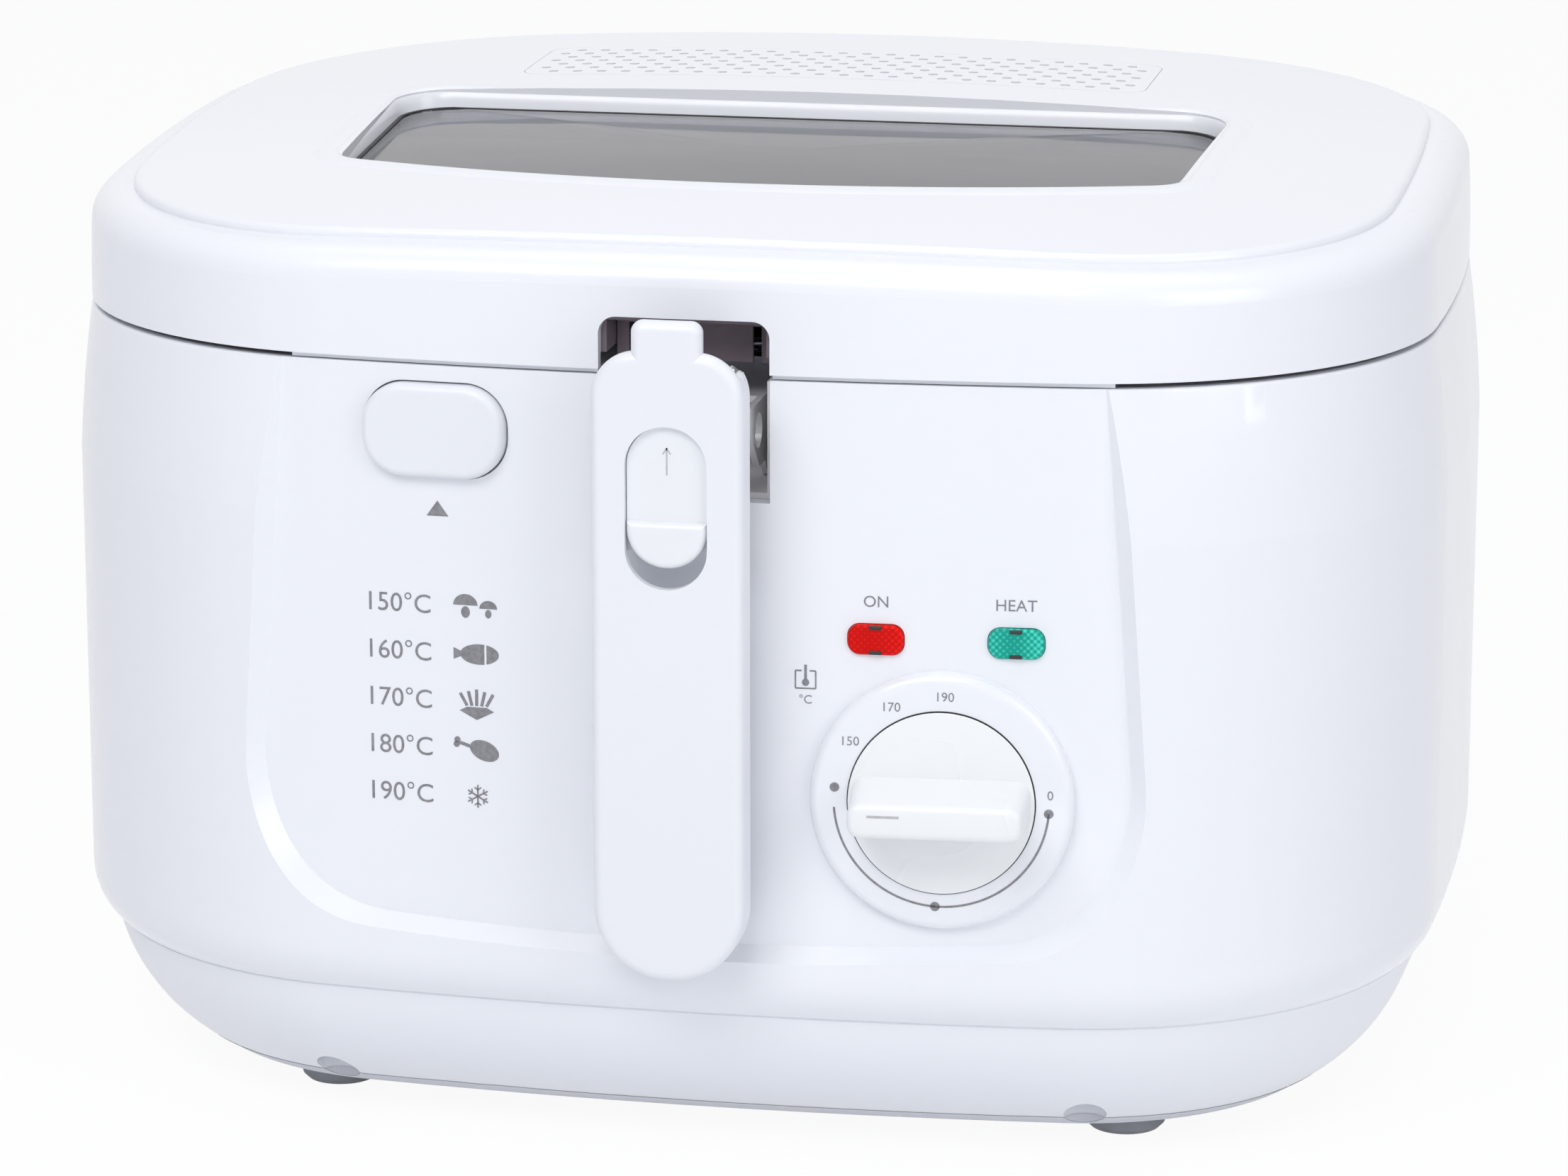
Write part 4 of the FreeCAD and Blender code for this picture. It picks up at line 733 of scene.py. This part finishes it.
# %% Dial scale
SCALE_RADIUS = 0.0243
NUMBER_RADIUS = 0.0247
ARC_WIDTH = 0.0005
DOT_RADIUS = 0.0011
stops = [math.radians(angle) for angle in (-4, -93, -187)]
dots = []
for a in stops:
    u, v = SCALE_RADIUS * math.cos(a), SCALE_RADIUS * math.sin(a)
    dots.append(drawn_disc(u, v, DOT_RADIUS, DOT_RADIUS, sides=18))
arc = drawn_ring(0, 0, SCALE_RADIUS + ARC_WIDTH / 2, ARC_WIDTH, 120)
arc = cut_below(arc, (0, SCALE_RADIUS * math.sin(stops[0]), 0), (0, -1, 0))
lay_on_dial(inked([arc, *dots], "print_dial_arc"), BOSS_HEIGHT, "housing")
for number, angle in (("150", 146), ("170", 117), ("190", 88), ("0", 6)):
    a = math.radians(angle)
    letters = drawn_text(number, NUMBER_RADIUS * math.cos(a), NUMBER_RADIUS * math.sin(a), 0.0021)
    lay_on_dial(inked([letters], f"print_dial_{number}"), BOSS_HEIGHT, "housing")
print("dial marks:", len(stops) + 5)

# %% [markdown]
# The next pieces are solid. They start as blocks, rods and discs, get soft edges,
# and are joined to one another or cut by one another.


# %% Solid shapes
def block(size, place):
    """A box of a given size about a point."""
    bpy.ops.mesh.primitive_cube_add(size=1, location=place)
    box = bpy.context.object
    box.scale = size
    settle()
    return box


def soften(piece, width, segments):
    """Bevels the sharp edges of a piece."""
    bevel = piece.modifiers.new("soft", "BEVEL")
    bevel.width = width
    bevel.segments = segments
    apply_all(piece)


def combine(piece, tool, operation):
    """Joins a piece to another shape, or cuts it with one, which is then used up."""
    boolean = piece.modifiers.new("combine", "BOOLEAN")
    boolean.operation = operation
    boolean.object = tool
    apply_all(piece)
    bpy.data.objects.remove(tool)


def edges_where(piece, wanted):
    """Selects the edges whose two ends pass a test, and stays in edit mode."""
    only(piece)
    bpy.ops.object.mode_set(mode="EDIT")
    bpy.ops.mesh.select_mode(type="EDGE")
    bpy.ops.mesh.select_all(action="DESELECT")
    bpy.ops.object.mode_set(mode="OBJECT")
    corners = piece.data.vertices
    for edge in piece.data.edges:
        start, end = (corners[i].co for i in edge.vertices)
        edge.select = wanted(start, end)
    bpy.ops.object.mode_set(mode="EDIT")


print("solid shapes ready")

# %% [markdown]
# The knob lies almost flush in the boss and only its grip stands out. The disc is a
# thin cylinder with a soft rim. The grip starts as a block: its foot is widened so
# that the sides slope, its ends are rounded, then its ridge. A union makes the two
# one piece, and a black ring on the boss is painted shade in the gap round the disc.

# %% Knob
DISC_RADIUS = 0.0211
DISC_FACE = 0.0039
DISC_DEPTH = 0.0005
GRIP_TOP = 0.0206
GRIP_FOOT = DISC_FACE - DISC_DEPTH / 2
GRIP_LENGTH = 0.0390
GRIP_WIDTH = 0.0078
GAP_RADIUS = 0.02138
GAP_WIDTH = 0.0007
grip = block((GRIP_LENGTH, GRIP_WIDTH, GRIP_TOP - GRIP_FOOT), (0, 0, (GRIP_FOOT + GRIP_TOP) / 2))
edges_where(grip, lambda start, end: max(start.z, end.z) < DISC_FACE)
bpy.ops.transform.resize(value=(1.03, 1.5, 1))
bpy.ops.object.mode_set(mode="OBJECT")
edges_where(grip, lambda start, end: abs(start.z - end.z) > 0.01)
bpy.ops.mesh.bevel(offset=0.0030, segments=6)
bpy.ops.object.mode_set(mode="OBJECT")
edges_where(grip, lambda start, end: min(start.z, end.z) > GRIP_TOP - 0.00001)
bpy.ops.mesh.bevel(offset=0.0016, segments=4)
bpy.ops.object.mode_set(mode="OBJECT")

bpy.ops.mesh.primitive_cylinder_add(
    vertices=96, radius=DISC_RADIUS, depth=DISC_DEPTH, location=(0, 0, GRIP_FOOT))
knob = bpy.context.object
settle()
soften(knob, 0.00022, 3)
combine(knob, grip, "UNION")
only(knob)
smooth(35)
dress(knob, "knob_with_grip", finishes["knob_white"])
lay_on_dial(knob, 0.0, "knob")
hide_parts("control_knob")

# A flat black ring laid on the boss: painted shade standing for the shadowed gap round the disc.
gap = inked([drawn_ring(0, 0, GAP_RADIUS, GAP_WIDTH, 120)], "knob_gap_painted_shade", finishes["black_plastic"])
lay_on_dial(gap, BOSS_HEIGHT, "housing")
print("knob faces:", len(knob.data.polygons))

# %% [markdown]
# A thin line at one end of the knob's grip is the pointer, and a fine arrow on the
# handle's slider shows which way it locks. They ride on the parts that move.

# %% Knob pointer and slider arrow
pale_ink = printing_ink("printing_ink_pale", (0.47, 0.47, 0.49), (0.54, 0.54, 0.56))
needle = inked([drawn_bar(-0.0150, 0.0013, -0.0078, 0.0013, 0.0006)], "print_knob_pointer", pale_ink)
lay_on_dial(needle, GRIP_TOP, "knob")

SLIDER_FACE_Y = -0.1464
ARROW_STROKE = 0.00035
strokes = [drawn_bar(0, 0.1668, 0, 0.1728, ARROW_STROKE),
           drawn_bar(-0.0009, 0.1716, 0.0001, 0.1730, ARROW_STROKE),
           drawn_bar(0.0009, 0.1716, -0.0001, 0.1730, ARROW_STROKE)]
arrow = inked(strokes, "print_slider_arrow", pale_ink)
for vertex in arrow.data.vertices:
    u, v, lift = vertex.co
    vertex.co = (u, SLIDER_FACE_Y - lift, v)
arrow.data.update()
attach(arrow, "slider")
print("slider faces at", SLIDER_FACE_Y)

# %% [markdown]
# Each lamp lens is held by a dark clip that shows as a small tongue at its top and
# bottom edge. A tongue is a small block with bevelled edges.

# %% Lens clips
LAMP_Z = 0.1267
LENS_PROUD = 0.0012
TONGUE_SIZE = (0.0028, 0.0008, 0.0009)
TONGUE_SUNK = 0.00012
TONGUE_REACH = 0.00285
SOFT_EDGE = 0.0002
for lamp, lamp_x in (("red", 0.0435), ("green", 0.0750)):
    tongues = []
    for side in (-1, 1):
        tongue_y = panel_depth(lamp_x) - LENS_PROUD + TONGUE_SUNK
        tongue = block(TONGUE_SIZE, (lamp_x, tongue_y, LAMP_Z + side * TONGUE_REACH))
        soften(tongue, SOFT_EDGE, 2)
        tongues.append(tongue)
    clip = joined(tongues)
    dress(clip, f"{lamp}_lens_clip", finishes["black_plastic"])
    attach(clip, "housing")
print("lens clips: 2")

# %% [markdown]
# The window sits in a soft raised rim, only a few millimetres below the lid's top.
# Rim and seal are closed profiles carried round the window's outline: each point of
# the outline moves along its own normal by the profile's offset, and its height is
# measured from the domed lid.


# %% Window outline
LID_TOP = 0.2235
LID_LEAN = 0.045
WINDOW_CORNER = 0.012
FRONT_START = 247
FRONT_SWEEP = 46


def lid_height(x, y):
    """The height of the lid's raised field, a shallow dome that leans forward."""
    return LID_TOP + LID_LEAN * y - (x * x + y * y) / 4


def window_outline():
    """Points round the window with their outward directions, anticlockwise from above."""
    corners = (((0.0912, 0.0150), -3, 90), ((-0.0912, 0.0150), 90, 183),
               ((-0.0893, -0.0412), 183, 247), ((0.0893, -0.0412), 293, 357))
    points = []
    for index, (middle, first, last) in enumerate(corners):
        for step in range(11):
            a = math.radians(first + (last - first) * step / 10)
            away = Vector((math.cos(a), math.sin(a)))
            points.append((Vector(middle) + away * WINDOW_CORNER, away))
        if index == 2:
            left = points[-1][0]
            half_sweep = math.radians(FRONT_SWEEP / 2)
            front_radius = abs(left.x) / math.sin(half_sweep)
            front_middle = Vector((0, left.y + front_radius * math.cos(half_sweep)))
            for step in range(1, 30):
                a = math.radians(FRONT_START + FRONT_SWEEP * step / 30)
                away = Vector((math.cos(a), math.sin(a)))
                points.append((front_middle + away * front_radius, away))
    return points


def mesh_piece(name, places, faces):
    """A new piece made from its points and faces."""
    mesh = bpy.data.meshes.new(name)
    mesh.from_pydata(places, [], faces)
    piece = bpy.data.objects.new(name, mesh)
    bpy.context.scene.collection.objects.link(piece)
    only(piece)
    return piece


def window_ring(name, profile, finish):
    """A closed profile, in millimetres, carried round the window's outline."""
    outline = window_outline()
    places = []
    for offset, height in profile:
        for point, away in outline:
            spot = point + away * offset * 0.001
            places.append((spot.x, spot.y, lid_height(spot.x, spot.y) + height * 0.001))
    rows, count = len(profile), len(outline)
    faces = []
    for row in range(rows):
        after = (row + 1) % rows
        for i in range(count):
            j = (i + 1) % count
            faces.append((row * count + i, row * count + j, after * count + j, after * count + i))
    ring = mesh_piece(name, places, faces)
    smooth(40)
    ring.data.materials.append(finish)
    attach(ring, "lid")
    return ring


front = min(point.y for point, away in window_outline())
print("window reaches forward to", round(front, 4))

# %% Window rim, seal and pane
rim_profile = ((7.6, -0.35), (6.4, 0.10), (5.0, 0.42), (3.4, 0.60), (2.0, 0.58), (0.9, 0.28), (0.2, -0.35),
               (-0.4, -1.4), (-0.8, -2.8), (-1.0, -4.5), (-0.2, -4.7), (0.6, -1.6), (7.0, -1.2))
window_ring("window_rim", rim_profile, finishes["shell_white"])
seal_profile = ((-0.5, -4.3), (-1.9, -4.3), (-1.9, -4.8), (-0.5, -4.8))
window_ring("window_edge_seal", seal_profile, finishes["black_plastic"])

PANE_MIDDLE = Vector((0, -0.020))
PANE_INSET = 0.0004
PANE_SUNK = 0.0046
edge = [point - away * PANE_INSET - PANE_MIDDLE for point, away in window_outline()]
count = len(edge)
places = []
faces = []
for row, scale in enumerate((1.0, 0.84, 0.68, 0.52, 0.36, 0.20, 0.06)):
    for i, spot in enumerate(edge):
        x, y = spot * scale + PANE_MIDDLE
        places.append((x, y, lid_height(x, y) - PANE_SUNK))
        if row:
            j = (i + 1) % count
            outer, inner = (row - 1) * count, row * count
            faces.append((outer + i, outer + j, inner + j, inner + i))
faces.append(tuple(range(len(places) - count, len(places))))
pane = mesh_piece("window_pane", places, faces)
glass = pane.modifiers.new("glass", "SOLIDIFY")
glass.thickness = 0.003
glass.offset = -1
apply_all(pane)
smooth(40)
pane.data.materials.append(finishes["window"])
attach(pane, "lid")
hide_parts("window_glass")
print("pane faces:", len(pane.data.polygons))

# %% [markdown]
# The handle turns on a short pin that ends inside the handle's shoulders. It is a
# thin cylinder laid across, with both ends chamfered.

# %% Handle pin
PIN_Y = -0.142
PIN_Z = 0.189
PIN_RADIUS = 0.0016
PIN_LENGTH = 0.0290


def cross_rod(radius, length, x):
    """A rod that lies across the handle on the pin's line, with its middle at x."""
    bpy.ops.mesh.primitive_cylinder_add(
        vertices=32, radius=radius, depth=length, location=(x, PIN_Y, PIN_Z), rotation=(0, math.pi / 2, 0))
    settle()
    return bpy.context.object


pin = cross_rod(PIN_RADIUS, PIN_LENGTH, 0)
soften(pin, 0.0003, 2)
smooth(35)
dress(pin, "handle_short_pin", finishes["pin_steel"])
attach(pin, "handle")
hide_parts("handle_pin")
print("pin length:", round(pin.dimensions.x, 4))

# %% [markdown]
# The bore for the pin runs out through the handle's shoulders. Two plugs close it
# flush. Each is a short rod, trimmed by the hull of a slice of the handle, so that
# its end takes the shoulder's own curve. The same slicing gives the base two thin
# bands: a lip that stands in the seam, and the turned-in edge at the very bottom,
# which is painted darker as shade under the base's edge.


# %% Slices of CAD pieces
def slice_of(node_name, low, high, name):
    """A new piece: the part of a CAD piece between two heights. Its cuts can stay open."""
    mesh = nodes[node_name].data.copy()
    mesh.transform(nodes[node_name].matrix_world)
    piece = bpy.data.objects.new(name, mesh)
    mesh.name = name
    bpy.context.scene.collection.objects.link(piece)
    only(piece)
    bpy.ops.object.mode_set(mode="EDIT")
    bpy.ops.mesh.select_all(action="SELECT")
    bpy.ops.mesh.bisect(plane_co=(0, 0, low), plane_no=(0, 0, 1), clear_inner=True, use_fill=True)
    bpy.ops.mesh.select_all(action="SELECT")
    bpy.ops.mesh.bisect(plane_co=(0, 0, high), plane_no=(0, 0, 1), clear_outer=True, use_fill=True)
    bpy.ops.mesh.select_all(action="SELECT")
    bpy.ops.object.mode_set(mode="OBJECT")
    return piece


SEAM_RISE = 0.00055
EDGE_PROUD = 0.0001
seam_lip = slice_of("base_tray", 0.0344, 0.0360, "base_seam_lip")
seam_lip.data.transform(Matrix.Translation((0, 0, SEAM_RISE)))
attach(seam_lip, "housing")

edge_band_painted_shade = slice_of("base_tray", 0.0060, 0.0088, "base_edge_band_painted_shade")
bpy.ops.object.mode_set(mode="EDIT")
bpy.ops.transform.shrink_fatten(value=EDGE_PROUD)
bpy.ops.object.mode_set(mode="OBJECT")
# The bottom band wears a darker copy of the base white: painted shade along the base's bottom edge.
edge_band_painted_shade.data.materials[0] = moulded_plastic(
    "painted_shade_base_white", (0.64, 0.655, 0.71), (0.66, 0.675, 0.73), 0.42, 0.46, 60, 0.00001)
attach(edge_band_painted_shade, "housing")
print("base bands:", len(seam_lip.data.polygons) + len(edge_band_painted_shade.data.polygons), "faces")

# %% Bore plugs
PLUG_X = 0.0172
PLUG_RADIUS = 0.0021
PLUG_LENGTH = 0.0040
plugs = []
for side in (-1, 1):
    shoulder = slice_of("handle_shell", 0.1855, 0.1925, "handle_shoulder")
    bpy.ops.object.mode_set(mode="EDIT")
    bpy.ops.mesh.convex_hull()
    bpy.ops.object.mode_set(mode="OBJECT")
    plug = cross_rod(PLUG_RADIUS, PLUG_LENGTH, side * PLUG_X)
    combine(plug, shoulder, "INTERSECT")
    plugs.append(plug)
plugs = joined(plugs)
smooth(35)
dress(plugs, "handle_bore_plugs", finishes["handle_white"])
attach(plugs, "handle")
print("plug faces:", len(plugs.data.polygons))

# %% [markdown]
# The bracket's two eyes reach a little past the handle's round shoulders. Its
# stand-in is the same bracket with both outer top corners cut off at a slant.

# %% Bracket with trimmed eyes
EYE_REACH = 0.0150
EYE_TOP = 0.1895
bracket = slice_of("basket_bracket", 0.1, 0.3, "bracket_trimmed")
bpy.ops.object.mode_set(mode="EDIT")
for side in (-1, 1):
    bpy.ops.mesh.select_all(action="SELECT")
    bpy.ops.mesh.bisect(
        plane_co=(side * EYE_REACH, 0, EYE_TOP), plane_no=(side, 0, 1), clear_outer=True, use_fill=True)
bpy.ops.object.mode_set(mode="OBJECT")
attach(bracket, "basket")
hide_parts("basket_bracket")
print("bracket faces:", len(bracket.data.polygons))

# %% [markdown]
# Behind the notch in the lid's front edge stands the back wall of its brown lining.
# Two slits, open at the bottom, let the bracket's cheeks rise through it when the
# basket is lifted. The wall itself lifts away with the lid.

# %% Notch back wall
CHEEK_X = 0.01425
WALL_Y = -0.1150
WALL_Z = 0.1916
WALL_SIZE = (0.0360, 0.0012, 0.0104)
SLIT_Z = 0.1900
SLIT_SIZE = (0.0019, 0.0040, 0.0092)
notch_back = block(WALL_SIZE, (0, WALL_Y, WALL_Z))
for side in (-1, 1):
    slit = block(SLIT_SIZE, (side * CHEEK_X, WALL_Y, SLIT_Z))
    combine(notch_back, slit, "DIFFERENCE")
soften(notch_back, SOFT_EDGE, 2)
dress(notch_back, "lid_notch_back", finishes["guide_brown"])
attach(notch_back, "lid")
print("notch wall faces:", len(notch_back.data.polygons))

# %% [markdown]
# Over the front panel the gap under the lid is closed by a low locating lip. It is
# a strip, cut into short lengths so that it can bend, and laid just behind the
# panel's face.

# %% Locating lip
LIP_Z = 0.1857
LIP_HEIGHT = 0.0010
LIP_BEHIND = 0.0012
for side, near, far in (("left", -0.0920, -0.0199), ("right", 0.0199, 0.0960)):
    strip = drawn_bar(near, LIP_Z, far, LIP_Z, LIP_HEIGHT)
    settle()
    bpy.ops.object.mode_set(mode="EDIT")
    bpy.ops.mesh.select_all(action="SELECT")
    bpy.ops.mesh.subdivide(number_cuts=14)
    bpy.ops.object.mode_set(mode="OBJECT")
    lip = inked([strip], f"locating_lip_{side}", finishes["shell_white"])
    lip.data.transform(Matrix.Translation((0, 0, -LIP_BEHIND)))
    lay_on_panel(lip)
print("locating lip at z", LIP_Z)

# %% [markdown]
# The latch's leaf spring has to bend when the lever is pushed. Its stand-in is a
# copy of the CAD spring cut into finer faces, and it stays where the spring stands.

# %% Latch leaf
leaf = slice_of("latch_spring", 0.1, 0.3, "latch_leaf")
bpy.ops.object.mode_set(mode="EDIT")
bpy.ops.mesh.subdivide(number_cuts=6)
bpy.ops.object.mode_set(mode="OBJECT")
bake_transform(leaf)
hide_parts("latch_spring")
print("leaf faces:", len(leaf.data.polygons))

# %% [markdown]
# The basket is woven from tinned wire. In CAD its walls are flat nets, which is all
# that a collision shape needs. Here each wire is a curve that passes over and under
# the wires it crosses: the offset changes sign at every crossing, and a neighbour
# starts with the other sign.

# %% Basket weave helpers
BASKET_HALF_X = 0.114
BASKET_HALF_Y = 0.077
BASKET_CORNER = 0.030
BASKET_MIDDLE_Y = 0.010
BASKET_FLOOR = 0.0586
BASKET_TOP = 0.1468
WIRE_RADIUS = 0.00062
WEAVE = 0.00056


def basket_outline(distance, shift=0.0):
    """A point on the basket's rounded outline, some way along it, moved out by shift."""
    flat_x, flat_y = BASKET_HALF_X - BASKET_CORNER, BASKET_HALF_Y - BASKET_CORNER
    bend = BASKET_CORNER * math.pi / 2
    runs = ((2 * flat_x, (flat_x, -flat_y), -90), (2 * flat_y, (flat_x, flat_y), 0),
            (2 * flat_x, (-flat_x, flat_y), 90), (2 * flat_y, (-flat_x, -flat_y), 180))
    for run, centre, normal in runs:
        a = math.radians(normal)
        reach = BASKET_CORNER + shift
        if distance <= run:
            back = run - distance
            return Vector((centre[0] + reach * math.cos(a) + back * math.sin(a),
                           centre[1] + reach * math.sin(a) - back * math.cos(a) + BASKET_MIDDLE_Y, 0))
        distance -= run
        if distance <= bend:
            a += distance / BASKET_CORNER
            return Vector((centre[0] + reach * math.cos(a),
                           centre[1] + reach * math.sin(a) + BASKET_MIDDLE_Y, 0))
        distance -= bend
    return basket_outline(0.0, shift)


OUTLINE = 4 * (BASKET_HALF_X + BASKET_HALF_Y - 2 * BASKET_CORNER) + 2 * math.pi * BASKET_CORNER


def wires(name, lines, radius, closed):
    """Round wires along several lines of points, as one mesh."""
    curve = bpy.data.curves.new(name, "CURVE")
    curve.dimensions = "3D"
    curve.bevel_depth = radius
    curve.bevel_resolution = 1
    curve.use_fill_caps = True
    for line in lines:
        spline = curve.splines.new("POLY")
        spline.points.add(len(line) - 1)
        spline.use_cyclic_u = closed
        for point, place in zip(spline.points, line):
            point.co = (*place, 1)
    piece = bpy.data.objects.new(name, curve)
    bpy.context.scene.collection.objects.link(piece)
    only(piece)
    bpy.ops.object.convert(target="MESH")
    piece = bpy.context.object
    smooth(60)
    piece.data.materials.clear()
    piece.data.materials.append(finishes["basket_wire"])
    return piece


print("basket outline in mm:", round(OUTLINE * 1000, 1))

# %% Basket walls
UPRIGHTS = 90
HOOPS = 11
hoop_step = (BASKET_TOP - BASKET_FLOOR) / (HOOPS + 0.5)
uprights = []
for i in range(UPRIGHTS):
    line = []
    for half in range(2 * HOOPS + 2):
        over = WEAVE * math.sin(math.pi / 2 * (half + 2 * i + 1)) if half % 2 == 0 else 0.0
        place = basket_outline(OUTLINE * i / UPRIGHTS, over)
        place.z = BASKET_FLOOR + hoop_step * half / 2
        line.append(place)
    line[-1].z = BASKET_TOP
    uprights.append(line)
hoops = []
for j in range(HOOPS):
    line = []
    for half in range(2 * UPRIGHTS):
        over = -WEAVE * math.cos(math.pi * (half / 2 + j)) if half % 2 == 0 else 0.0
        place = basket_outline(OUTLINE * half / 2 / UPRIGHTS, over)
        place.z = BASKET_FLOOR + hoop_step * (j + 0.5)
        line.append(place)
    hoops.append(line)
wall_uprights = wires("basket_wall_uprights", uprights, WIRE_RADIUS, False)
wall_hoops = wires("basket_wall_hoops", hoops, WIRE_RADIUS, True)
walls = joined([wall_uprights, wall_hoops])
walls.name = "basket_woven_walls"
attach(walls, "basket")
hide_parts("basket_front_net", "basket_rear_net", "basket_left_net", "basket_right_net",
            "basket_corner_nets")
print("wall triangles about", sum(len(face.vertices) - 2 for face in walls.data.polygons))


# %% Basket floor
def floor_reach(offset, half_along, half_across):
    """How far a floor wire runs to each side before it meets the rounded outline."""
    past = abs(offset) - (half_across - BASKET_CORNER)
    if past <= 0:
        return half_along
    return half_along - BASKET_CORNER + math.sqrt(max(BASKET_CORNER ** 2 - past ** 2, 0))


FLOOR_PITCH = 0.0079
EDGE_POINTS = 160
EDGE_RADIUS = 0.0011


def floor_wire(index, half_along, half_across, weave):
    """One floor wire: how far along it, how far across and how far over each point lies."""
    offset = index * FLOOR_PITCH
    reach = floor_reach(offset, half_along, half_across)
    halves = int(2 * reach / FLOOR_PITCH)
    line = [(-reach, offset, 0.0)]
    for half in range(-halves, halves + 1):
        over = weave * math.cos(math.pi * (half / 2 + index)) if half % 2 == 0 else 0.0
        line.append((half * FLOOR_PITCH / 2, offset, over))
    line.append((reach, offset, 0.0))
    return line


count_x = int(BASKET_HALF_X / FLOOR_PITCH)
count_y = int(BASKET_HALF_Y / FLOOR_PITCH)
floor_lines = []
for i in range(-count_x, count_x + 1):
    line = floor_wire(i, BASKET_HALF_Y, BASKET_HALF_X, WEAVE)
    floor_lines.append([Vector((x, BASKET_MIDDLE_Y + y, BASKET_FLOOR + over)) for y, x, over in line])
for j in range(-count_y, count_y + 1):
    line = floor_wire(j, BASKET_HALF_X, BASKET_HALF_Y, -WEAVE)
    floor_lines.append([Vector((x, BASKET_MIDDLE_Y + y, BASKET_FLOOR + over)) for x, y, over in line])
woven_floor = wires("basket_floor_weave", floor_lines, WIRE_RADIUS, False)
edge_line = []
for i in range(EDGE_POINTS):
    edge_line.append(basket_outline(OUTLINE * i / EDGE_POINTS) + Vector((0, 0, BASKET_FLOOR)))
floor_edge = wires("basket_floor_edge", [edge_line], EDGE_RADIUS, True)
basket_floor = joined([woven_floor, floor_edge])
basket_floor.name = "basket_woven_floor"
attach(basket_floor, "basket")
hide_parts("basket_floor_net")
print("floor wires:", len(floor_lines))
